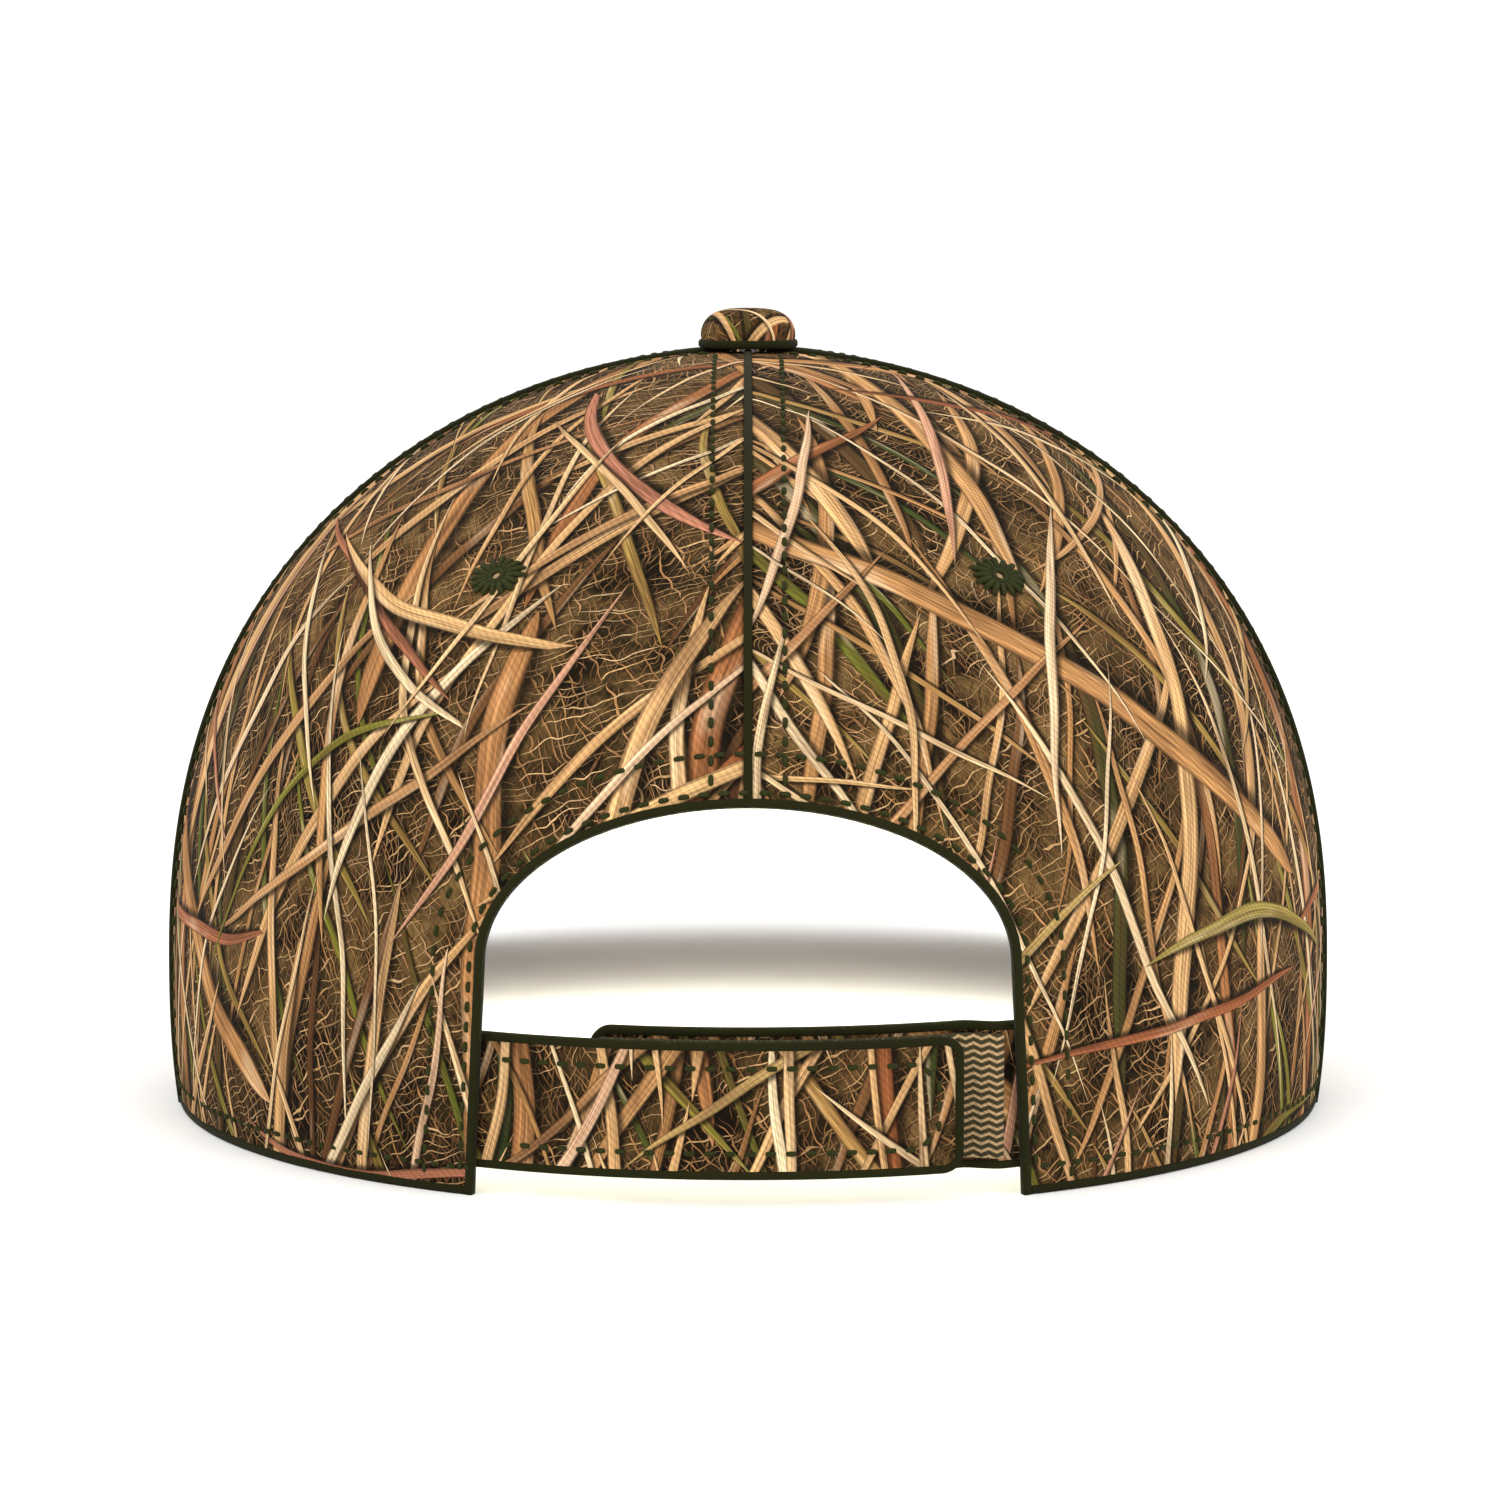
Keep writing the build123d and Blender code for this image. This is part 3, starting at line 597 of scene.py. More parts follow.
class Library:
    """The materials, made once and shared by the pieces."""

    def __init__(self, settings):
        self.made = {}
        self.settings = settings
        self.groups = {"weave": weave_group(), "worn": worn_group(), "print": print_group()}

    def get(self, name):
        if name not in self.made:
            self.made[name] = getattr(self, name)()
        return self.made[name]

    def start(self, name, roughness, sheen=0.0):
        material = bpy.data.materials.new(name)
        material.use_nodes = True
        g = Graph(material.node_tree)
        shader = next(n for n in material.node_tree.nodes if n.type == "BSDF_PRINCIPLED")
        shader.inputs["Roughness"].default_value = roughness
        shader.inputs["Sheen Weight"].default_value = sheen
        shader.inputs["Specular IOR Level"].default_value = 0.07
        return material, g, shader

    def cloth(self, name, color, pitch, twill, roughness=0.95, sheen=0.04, bump=0.25, by_uv=True, worn=0.15):
        """A woven material. color is a plain colour, or a function from a graph and a vector to a socket."""
        material, g, shader = self.start(name, roughness, sheen)
        source = g.add("ShaderNodeTexCoord").outputs["UV" if by_uv else "Object"]
        weave = g.group(self.groups["weave"], Vector=source, Pitch=pitch, Twill=twill)
        handled = g.group(self.groups["worn"], Vector=source, Strength=worn)
        base = color(g, source) if callable(color) else color
        # the weave's Tone is painted shade in the thread gaps, and the handled Tone is fading and handling
        tone = g.math("MULTIPLY", weave["Tone"], handled["Tone"])
        g.put(g.vector("SCALE", base, scale=tone), shader.inputs["Base Color"])
        height = g.math("MULTIPLY_ADD", handled["Height"], 0.6, weave["Height"])
        relief = g.add("ShaderNodeBump")
        relief.inputs["Strength"].default_value = bump
        relief.inputs["Distance"].default_value = 0.0002
        g.put(height, relief.inputs["Height"])
        g.put(relief.outputs[0], shader.inputs["Normal"])
        return material

    def printed(self, g, source):
        return g.group(self.groups["print"], Vector=source, Scale=self.settings.print_scale)["Color"]

    def printed_twill(self):
        return self.cloth("printed_twill", self.printed, self.settings.weave_pitch, 1.0, sheen=0.0)

    def twill_reverse(self):
        return self.cloth("twill_reverse", linear(226, 222, 208), self.settings.weave_pitch, 1.0)

    def dark_binding(self):
        return self.cloth("dark_binding", linear(31, 31, 9), 0.0005, 0.0, 0.85, 0.02)

    def stitch_thread(self):
        return self.cloth("stitch_thread", linear(44, 47, 17), 0.0003, 1.0, 0.75, 0.02, 0.2, by_uv=False)

    def pale_thread(self):
        return self.cloth("pale_thread", linear(214, 208, 190), 0.0003, 1.0, 0.6, 0.1, 0.2, by_uv=False)

    def buckram(self):
        return self.cloth("buckram", linear(240, 240, 234), 0.0016, 0.0, 0.9, 0.0, 0.6)

    def seam_tape(self):
        return self.cloth("seam_tape", linear(232, 229, 216), 0.0009, 0.0, 0.85, 0.1, 0.4)

    def sweatband_cotton(self):
        return self.cloth("sweatband_cotton", linear(230, 227, 214), 0.0007, 0.0, 0.95, 0.3, 0.3)

    def visor_board(self):
        return self.cloth("visor_board", linear(222, 222, 214), 0.002, 0.0, 0.5, 0.0, 0.05, by_uv=False)

    def loop_tape(self):
        return self.cloth("loop_tape", linear(64, 60, 36), 0.0011, 0.0, 1.0, 0.5, 0.8)

    def hook_tape(self):
        def hooks(g, source):
            x, y, _ = g.split(source)
            zigzag = g.math("PINGPONG", g.math("DIVIDE", x, 0.0011), 1.0)
            rows = g.math("FRACT", g.math("MULTIPLY_ADD", zigzag, 0.45, g.math("DIVIDE", y, 0.00105)))
            tooth = g.smooth(g.math("ABSOLUTE", g.math("SUBTRACT", rows, 0.5)), 0.26, 0.14)
            return g.mix(tooth, linear(58, 52, 30), linear(178, 148, 108))

        return self.cloth("hook_tape", hooks, 0.0008, 0.0, 0.7, 0.1, 0.6)

    def button_metal(self):
        material, g, shader = self.start("button_metal", 0.4)
        shader.inputs["Metallic"].default_value = 1.0
        shader.inputs["Base Color"].default_value = linear(170, 168, 162)
        source = g.add("ShaderNodeTexCoord").outputs["Object"]
        scuffs = g.noise(source, 900.0, 3.0)["Fac"]
        g.put(g.smooth(scuffs, 0.3, 0.7, 0.3, 0.5), shader.inputs["Roughness"])
        return material

    def eyelet_dark(self):
        return self.cloth("eyelet_shadow", linear(178, 144, 112), 0.0005, 0.0, 0.9, 0.0, 0.2, by_uv=False)


library = {}


def material(name):
    if "shared" not in library:
        library["shared"] = Library(bpy.context.scene.field_cap)
    return library["shared"].get(name)


def crown_piece(piece, slot, *nodes):
    """A finished piece of the crown: it rides on the crown's body and stands for CAD nodes."""
    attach(piece, "crown")
    if nodes:
        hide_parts(*nodes)
    return piece


# ---------------------------------------------------------------- crown cloth
def seam_distance(azimuth, lift, first, second):
    """Millimetres along the cloth to the nearer of two seams."""
    per_degree = mm_per_degree(azimuth, lift)
    return min(azimuth - first, second - azimuth) * per_degree


def cloth_relief(point, from_seam, above_rim, depth):
    """How far the cloth stands off its smooth surface: it dips into seams, puckers beside them and waves slowly."""
    pull = -0.22 * max(0.0, 1 - from_seam / 2.6) ** 2
    bead = max(0.0, 1 - abs(from_seam - 4.4) / 4.6)
    ripple = noise.noise(Vector((point.z * 0.42, from_seam * 0.10, point.x * 0.05)))
    slow = noise.noise(point * 0.028) + 0.45 * noise.noise(point * 0.07 + Vector((9, 2, 5)))
    hem = max(0.0, 1 - abs(above_rim - 3.0) / 6.0)
    hem_ripple = noise.noise(Vector((point.x * 0.33, point.y * 0.33, 3.3)))
    return pull + depth * (0.55 * bead * ripple + 0.5 * slow + 0.45 * hem * hem_ripple) - 0.12 * bead * (depth > 0)


def gore_sheet(name, gore, settings, inset, thick, cloth, inner, low_rise=0.0, top_radius=2.9, margin=0.5,
               relief=1.0, step=None, clip=None):
    """Curved sheet between two seams, from the rim to a circle round the apex."""
    _, _, first, second = GORES[gore]
    middle, step = (first + second) / 2, step or settings.mesh_step / MM
    table, top = arc_table(middle), lift_at_radius(top_radius)
    across = ceil((second - first) * mm_per_degree(middle, lift_at_height(20)) / step)
    up = ceil(arc_length(table, top) / step)
    points, uvs, plan = [], [], []
    for i in range(across + 1):
        share = i / across
        for j in range(up + 1):
            azimuth = first + (second - first) * share
            low = lift_at_height(max(0.05, rim_height(azimuth)) + low_rise)
            lift = low + (top - low) * j / up
            edge = margin / mm_per_degree(azimuth, lift)
            azimuth = first + edge + (second - first - 2 * edge) * share
            plan.append((azimuth, lift))
    faces = grid_faces(across + 1, up + 1)
    if clip is not None:
        faces, plan = clip_to_opening(faces, plan, clip)
    depth = settings.pucker_depth / MM * relief
    for azimuth, lift in plan:
        point = outer_point(azimuth, lift)
        from_seam = seam_distance(azimuth, lift, first, second)
        off = cloth_relief(point, from_seam, point.z - rim_height(azimuth), depth) if relief else 0.0
        points.append(point - outward(azimuth, lift) * (inset - off))
        uvs.append(((azimuth - middle) * mm_per_degree(azimuth, lift) * MM, arc_length(table, lift) * MM))
    used = sorted({k for face in faces for k in face})
    number = {k: n for n, k in enumerate(used)}
    faces = [tuple(number[k] for k in face) for face in faces]
    offset = Vector((37.0 * len(name), 53.0 * sum(map(ord, name)) % 911)) * MM
    uvs = [(uvs[k][0] + offset[0], uvs[k][1] + offset[1]) for k in used]
    piece = build(name, [points[k] for k in used], faces, cloth, uvs, materials=(inner,))
    return thicken(piece, thick, inner_slot=1)


def clip_to_opening(faces, plan, grow):
    """Drops the faces inside the rear opening, and moves the rest of their corners out to its edge."""
    places = []
    for azimuth, lift in plan:
        point = outer_point(azimuth, lift)
        places.append((point.x, point.z, point.y > 0 and in_opening(point.x, point.z, grow)))
    kept = [face for face in faces if not all(places[k][2] for k in face)]
    plan = list(plan)
    for k in {k for face in kept for k in face}:
        x, z, inside = places[k]
        if inside:
            x, z = to_opening_edge(x, z, grow)
            plan[k] = (azimuth_at(x, z), lift_at_height(z))
    return kept, plan


def make_panels(settings):
    for gore in GORES:
        clip = 0.5 if gore.startswith("back") else None
        piece = gore_sheet(gore + "_cloth", gore, settings, 0.0, PANEL_THICK, material("printed_twill"),
                           material("twill_reverse"), clip=clip)
        crown_piece(piece, "printed_twill", gore + "_panel")


def make_lining(settings):
    for gore in ("front_left", "front_right"):
        piece = gore_sheet(gore + "_buckram", gore, settings, 0.8, 0.8, material("buckram"), material("buckram"),
                           low_rise=1.0, top_radius=20.0, margin=1.5, relief=0.0, step=3.0)
        crown_piece(piece, "buckram", gore + "_stiffener")
    for seam, azimuth in SEAMS.items():
        foot = OPENING_TOP + 9.0 if seam == "rear" else rim_height(azimuth) + 12.0
        low, high = lift_at_height(foot), lift_at_radius(16.0)
        frames = crown_frames([(azimuth, low + (high - low) * i / 60) for i in range(61)], 2.0)
        half = [-6.0, -5.6, -5.0, -2.6, -2.0, 2.0, 2.6, 5.0, 5.6, 6.0]
        lift = [0.0, 0.12, 0.04, 0.04, 0.18, 0.18, 0.04, 0.04, 0.12, 0.0]
        section = [(s, -h) for s, h in zip(half, lift)] + [(s, -h + 0.4) for s, h in zip(half[::-1], lift[::-1])]
        section = [(s, h - s * s / 180) for s, h in section]
        piece = ribbon(seam + "_lining_tape", frames, section, material("seam_tape"))
        crown_piece(piece, "seam_tape", seam + "_seam_tape")
    path = list(opening_path(4.8, UNDER_TOP + 1.5))
    frames = crown_frames([(azimuth_at(x, z), lift_at_height(z)) for x, z in path], 1.05)
    section = [(-3.4, -0.2), (-3.2, -0.35), (3.2, -0.35), (3.4, -0.2), (3.4, 0.0), (3.2, 0.15), (-3.2, 0.15),
               (-3.4, 0.0)]
    piece = ribbon("opening_lining", frames, section, material("seam_tape"))
    crown_piece(piece, "seam_tape", "opening_facing")


def make_sweatband(settings):
    """The band is folded at its lower edge and turned up inside the crown."""
    profile = [(1.9, 0.9), (1.2, 0.25), (0.4, 0.0), (-0.3, 0.25), (-0.55, 1.2), (-0.5, 4.0), (-0.1, 5.0),
               (-0.1, 12.0), (0.0, 20.0), (0.0, 27.0), (-0.25, 28.2), (-0.2, 31.0), (0.3, 32.0), (0.9, 31.6),
               (1.0, 24.0), (1.0, 12.0), (1.3, 5.0), (1.9, 2.4)]
    count = 200
    points, uvs, length, around = [], [], 0.0, [0.0]
    for (i0, h0), (i1, h1) in zip(profile, profile[1:]):
        around.append(around[-1] + hypot(i1 - i0, h1 - h0))
    last = None
    for i in range(count + 1):
        azimuth = -240.0 + 300.0 * i / count
        base = max(0.12, rim_height(azimuth) + 0.3)
        wave = 0.35 * noise.noise(Vector((azimuth * 0.11, 4.2, 0)))
        for (shift, high), v in zip(profile, around):
            lift = lift_at_height(base + high)
            ripple = wave * (high / 32.0)
            points.append(crown_point(azimuth, lift, 4.9 - shift + ripple * 0.6))
            uvs.append((length * MM, v * MM))
        here = crown_point(azimuth, lift_at_height(base + 15), 4.5)
        length += (here - last).length if last else 0.0
        last = here
    faces = grid_faces(count + 1, len(profile), close_columns=True)
    faces.append(tuple(range(len(profile))))
    faces.append(tuple(reversed(range(len(points) - len(profile), len(points)))))
    piece = build("sweatband_cloth", points, faces, material("sweatband_cotton"), uvs)
    crown_piece(piece, "sweatband_cotton", "sweatband")
    thread = Thread(settings)
    for high, shift in ((4.6, -0.3), (28.0, -0.2)):
        places = [(-238.0 + 296.0 * i / 400, high) for i in range(401)]
        frames = []
        for azimuth, rise in places:
            lift = lift_at_height(max(0.12, rim_height(azimuth) + 0.3) + rise)
            frames.append((crown_point(azimuth, lift, 4.9 - shift + 0.15), -outward(azimuth, lift), None))
        thread.row(frames)
    crown_piece(thread.finish("sweatband_stitching", material("pale_thread")), "sweatband_cotton")


def make_piping(settings):
    seam_section, side_section = cord_section(SEAM_WIDTH / 2, 0.34, 0.7), cord_section(0.8, 0.6, 0.7)
    for seam, azimuth in SEAMS.items():
        front = "front" in seam
        foot = OPENING_TOP + 0.9 if seam == "rear" else rim_height(azimuth) + (3.4 if front else 0.1)
        low, high = lift_at_height(foot), lift_at_radius(3.0)
        frames = crown_frames([(azimuth, low + (high - low) * i / 120) for i in range(121)])
        section = side_section if seam in ("left_rear", "right_rear") else seam_section
        piece = ribbon(seam + "_seam_cord", frames, section, material("dark_binding"))
        crown_piece(piece, "dark_binding", seam + "_seam_piping")
    frames = crown_frames([(azimuth_at(x, z), lift_at_height(z)) for x, z in opening_path(0.6, 0.1)])
    piece = ribbon("opening_edge_tape", frames, cord_section(0.62, 0.36, 0.78), material("dark_binding"))
    crown_piece(piece, "dark_binding", "opening_binding")
    corner = azimuth_at(jamb_x(0.6, 0.9), 0.6)
    for side, (start, end) in {"left": (-26.0, corner), "right": (206.0, 180.0 - corner)}.items():
        places = []
        for i in range(181):
            azimuth = start + (end - start) * i / 180
            places.append((azimuth, lift_at_height(max(0.05, rim_height(azimuth)) + 0.62)))
        piece = ribbon(side + "_rim_tape", crown_frames(places), cord_section(0.62, 0.36, 0.3),
                       material("dark_binding"))
        crown_piece(piece, "dark_binding", "rim_binding_" + side)


def make_topstitching(settings):
    thread = Thread(settings)
    away = 5.1
    for seam, azimuth in SEAMS.items():
        for side in (-1, 1):
            foot = rim_height(azimuth) + (4.5 if "front" in seam else 1.6)
            if seam == "rear":
                foot = OPENING_TOP + 2.0
            low, high = lift_at_height(foot), lift_at_radius(8.6)
            places = []
            for i in range(101):
                lift = low + (high - low) * i / 100
                places.append((azimuth + side * away / mm_per_degree(azimuth, lift), lift))
            thread.row(crown_frames(places, -0.02))
    for grow, foot in ((1.9, 2.6), (7.0, 1.6)):
        path = opening_path(grow, foot)
        thread.row(crown_frames([(azimuth_at(x, z), lift_at_height(z)) for x, z in path], -0.02))
    for start, end in ((-24.0, 64.9), (204.0, 115.1)):
        places = []
        for i in range(241):
            azimuth = start + (end - start) * i / 240
            places.append((azimuth, lift_at_height(rim_height(azimuth) + 4.0)))
        thread.row(crown_frames(places, -0.02))
    crown_piece(thread.finish("crown_topstitching", material("stitch_thread")), "embroidery_thread")


def make_eyelets(settings):
    """Each eyelet is a flower of satin stitches round a small hole."""
    rng = random.Random(4)
    thread = Thread(settings)
    lift, count = lift_at_height(EYELET_HEIGHT), 16
    points, faces = [], []
    for azimuth in EYELETS:
        middle, normal = crown_point(azimuth, lift, -0.15), outward(azimuth, lift)
        level = Vector((0, 0, 1)).cross(normal).normalized()
        up = normal.cross(level)
        for k in range(count):
            turn = 2 * pi * (k + 0.5) / count
            along = (level * (1.12 * cos(turn)) + up * (0.9 * sin(turn)))
            reach = 4.2 * (0.86 + 0.19 * rng.random())
            inner = 0.95
            centre = middle + along * ((reach + inner) / 2)
            thread.stitch(centre, along.normalized(), normal, (reach - inner) * along.length, 0.5)
        for k in range(24):
            turn = 2 * pi * k / 24
            along = level * (-sin(turn)) + up * cos(turn)
            ring = (level * cos(turn) + up * sin(turn)) * 1.0
            thread.stitch(middle + ring + normal * 0.12, along, normal, 0.6, 0.42)
        base = len(points)
        points.append(middle + normal * 0.1)
        points += [middle + normal * 0.02 + (level * cos(2 * pi * k / 16) + up * sin(2 * pi * k / 16)) * 0.7
                   for k in range(16)]
        faces += [(base, base + 1 + k, base + 1 + (k + 1) % 16) for k in range(16)]
    crown_piece(thread.finish("eyelet_embroidery", material("stitch_thread")), "embroidery_thread", "sewn_eyelets")
    crown_piece(build("eyelet_centres", points, faces, material("eyelet_dark")), "seam_tape")


# ---------------------------------------------------------------- button
def lathe(name, profile, seat, cloth, turns=72, dimple=0.0):
    """Turns a profile of (radius, height) about +Z."""
    points, uvs = [], []
    reach = [0.0]  # along the profile from its last point, so that a cap is laid out as the disc it was cut from
    for (r0, h0), (r1, h1) in zip(profile[::-1], profile[-2::-1]):
        reach.append(reach[-1] + hypot(r1 - r0, h1 - h0))
    reach.reverse()
    for k in range(turns):
        angle = 2 * pi * k / turns
        pleat = 1 - dimple * (0.5 + 0.5 * cos(angle * 12))
        for n, (radius, height) in enumerate(profile):
            r = radius * (pleat if n < 4 else 1.0)
            points.append(Vector((r * cos(angle), r * sin(angle), seat + height)))
            uvs.append(((reach[n] * cos(angle) + 31.0) * MM, (reach[n] * sin(angle) + 17.0) * MM))
    count = len(profile)
    faces = grid_faces(turns, count, close_rows=True)
    if profile[-1][0] > 0:
        faces.append(tuple(k * count + count - 1 for k in range(turns)))
    return build(name, points, faces, cloth, uvs)


def make_button(settings):
    seat = CROWN_HEIGHT + 0.45
    dome = []
    for i in range(15):
        angle = pi / 2 * i / 14
        radius = max(0.02, BUTTON_RADIUS * cos(angle) ** 0.62)
        dome.append((radius, 1.7 + (BUTTON_HEIGHT - 1.75) * sin(angle) ** 0.9))
    profile = [(6.4, 0.05), (6.9, 0.2), (7.15, 0.7), (BUTTON_RADIUS, 1.3), *dome]
    piece = lathe("button_cloth", profile, seat, material("printed_twill"), dimple=0.012)
    crown_piece(piece, "printed_twill", "button_cover", "button_shell")
    ring = [(6.5, 0.0), (7.3, 0.0), (7.55, 0.3), (7.55, 0.9), (7.35, 1.2), (7.0, 1.3), (6.8, 0.9), (6.6, 0.4)]
    piece = lathe("button_edge_ring", ring + ring[:1], seat, material("dark_binding"))
    crown_piece(piece, "dark_binding", "button_base_ring")
    for name in ("button_post", "button_back"):
        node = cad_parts[name]
        node.data.materials.clear()
        node.data.materials.append(material("button_metal"))


# ---------------------------------------------------------------- visor
VISOR_EDGE = [(78.0, -47.2), (82.6, -64.0), (84.0, -88.0), (80.6, -118.0), (66.0, -147.0), (38.0, -167.4),
              (0.0, -174.5)]


def visor_edge_points(count):
    """Even points along the visor's free edge, from the wearer's left to the right."""
    half = [Vector((x, y, 0)) for x, y in VISOR_EDGE]
    knots = half + [Vector((-p.x, p.y, 0)) for p in reversed(half[:-1])]
    knots = [knots[0] * 2 - knots[1]] + knots + [knots[-1] * 2 - knots[-2]]
    fine = []
    for i in range(1, len(knots) - 2):
        a, b, c, d = knots[i - 1 : i + 3]
        for k in range(30):
            t = k / 30
            fine.append(0.5 * ((2 * b) + (c - a) * t + (2 * a - 5 * b + 4 * c - d) * t**2
                               + (3 * b - a - 3 * c + d) * t**3))
    fine.append(knots[-2])
    lengths = [0.0]
    for p, q in zip(fine, fine[1:]):
        lengths.append(lengths[-1] + (q - p).length)
    points, k = [], 0
    for i in range(count):
        target = lengths[-1] * i / (count - 1)
        while k < len(lengths) - 2 and lengths[k + 1] < target:
            k += 1
        share = (target - lengths[k]) / max(1e-9, lengths[k + 1] - lengths[k])
        points.append(fine[k].lerp(fine[k + 1], min(1.0, share)))
    return points


def visor_root(share):
    """Where the visor meets the crown, from the wearer's left to the right."""
    azimuth = -27.6 - 124.8 * share
    point = outer_point(azimuth, lift_at_height(10.0))
    for _ in range(3):
        point = outer_point(azimuth, lift_at_height(visor_middle(point.x, point.y)))
    return Vector((point.x, point.y, 0)) + Vector((cos(radians(azimuth)), sin(radians(azimuth)), 0)) * 0.15


def visor_place(share, t, edge, grow, height):
    """Point of the visor at a share along its edge, and t from the crown to the edge."""
    rim = edge + (edge - Vector((0, -80, 0))).normalized() * grow * t
    plan = visor_root(share).lerp(rim, t)
    slope = Vector((2 * VISOR_BEND * plan.x, -VISOR_PITCH, 1)).normalized()
    point = Vector((plan.x, plan.y, visor_middle(plan.x, plan.y)))
    return point + slope * height, slope


def visor_flat(x, y):
    """Where a point of the visor lies once its bend is laid flat."""
    slope = 2 * VISOR_BEND * x
    across = (x * hypot(1, slope) + asinh(slope) / (2 * VISOR_BEND)) / 2
    return across, y * hypot(1, VISOR_PITCH)


def make_visor(settings):
    across, out = 150, 46
    edges = visor_edge_points(across + 1)
    rows = [0.16 + 0.117 * k for k in range(7)]
    covers = (("visor_top_cloth", 1, "visor_top_cover"), ("visor_under_cloth", -1, "visor_under_cover"))
    for name, sign, node in covers:
        points, uvs = [], []
        for i in range(across + 1):
            for j in range(out + 1):
                t = j / out
                groove = max(max(0.0, 1 - abs(t - row) * 60 / 1.2) for row in rows)
                edge_dip = 0.45 * max(0.0, (t - 0.97) / 0.03) ** 2
                height = sign * (VISOR_HALF_STACK - 0.16 * groove - edge_dip)
                point, _ = visor_place(i / across, t, edges[i], -0.1, height)
                point.z = max(point.z, 0.02)
                points.append(point)
                across_flat, out_flat = visor_flat(point.x, point.y)
                uvs.append(((across_flat + 211.0 + 90 * sign) * MM, (out_flat + 307.0) * MM))
        faces = grid_faces(across + 1, out + 1)
        if sign == -1:
            faces = [tuple(reversed(face)) for face in faces]
        piece = build(name, points, faces, material("printed_twill"), uvs, materials=(material("twill_reverse"),))
        flip = piece.data.polygons[len(piece.data.polygons) // 2].normal.z * sign < 0
        if flip:
            piece.data.flip_normals()
        thicken(piece, 0.5, inner_slot=1)
        crown_piece(piece, "visor_twill", node)
    frames = []
    for i in range(across + 1):
        point, slope = visor_place(i / across, 1.0, edges[i], -0.2, 0.0)
        previous, after = edges[max(0, i - 1)], edges[min(across, i + 1)]
        frames.append((point, slope, slope.cross(after - previous).normalized()))
    section = [(0.75 * cos(2 * pi * k / 14), 1.35 * sin(2 * pi * k / 14)) for k in range(14)]
    piece = ribbon("visor_edge_cord", frames, section, material("dark_binding"))
    for vertex in piece.data.vertices:
        vertex.co.z = max(vertex.co.z, 0.02 * MM)
    crown_piece(piece, "dark_binding", "visor_piping")
    thread = Thread(settings)
    for sign in (1, -1):
        for row in rows:
            frames = []
            for i in range(across + 1):
                point, slope = visor_place(i / across, row, edges[i], 0.0, sign * (VISOR_HALF_STACK - 0.12))
                if (edges[i] - visor_root(i / across)).length > 14.0:
                    frames.append((point, slope * sign, None))
            thread.row(frames)
    crown_piece(thread.finish("visor_stitching", material("stitch_thread")), "embroidery_thread")
    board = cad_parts["visor_board"]
    board.data.materials.clear()
    board.data.materials.append(material("visor_board"))


# ---------------------------------------------------------------- straps
STRAP_PRINT_START = 150.8  # where the cap's middle plane falls along the straps' cutting layout
STRAP_SEWN_X = 51.0  # how far behind the crown a strap's sewn end reaches
STRAP_SPLIT_X = 15.0  # where the outer strap's two pieces meet
STRAP_END_STEPS = (5.0, 4.3, 3.6, 3.0, 2.5, 2.0, 1.6, 1.32, 1.22, 0.9, 0.6, 0.35, 0.16, 0.05, 0.0)


def strap_azimuth(x, inset=STRAP_INSET + STRAP_THICK / 2):
    return 90.0 - degrees(asin(x / (HALF_WIDTH - inset)))


def strap_frame(x, inset):
    """(point, outward normal) of a strap's outer face at an x, at z = 0."""
    angle = radians(strap_azimuth(x))
    point = Vector(((HALF_WIDTH - inset) * cos(angle), (HALF_LENGTH - inset) * sin(angle), 0))
    return point, Vector((cos(angle) / HALF_WIDTH, sin(angle) / HALF_LENGTH, 0)).normalized()


def outer_inset(x):
    return STRAP_INSET


def under_inset(x):
    start, end = strap_azimuth(-HINGE_X + 0.5), strap_azimuth(TAB_END_X - 0.8)
    share = min(1.0, max(0.0, (start - strap_azimuth(x)) / (start - end)))
    return STRAP_INSET + (UNDER_INSET - STRAP_INSET) * share * share * (3 - 2 * share)


def strap_run(x, inset):
    """Millimetres along a strap from the cap's middle plane to x, signed like x."""
    count = max(1, ceil(abs(x)))
    places = [strap_frame(x * k / count, inset(x * k / count))[0] for k in range(count + 1)]
    return sum((b - a).length for a, b in zip(places, places[1:])) * (1 if x > 0 else -1)


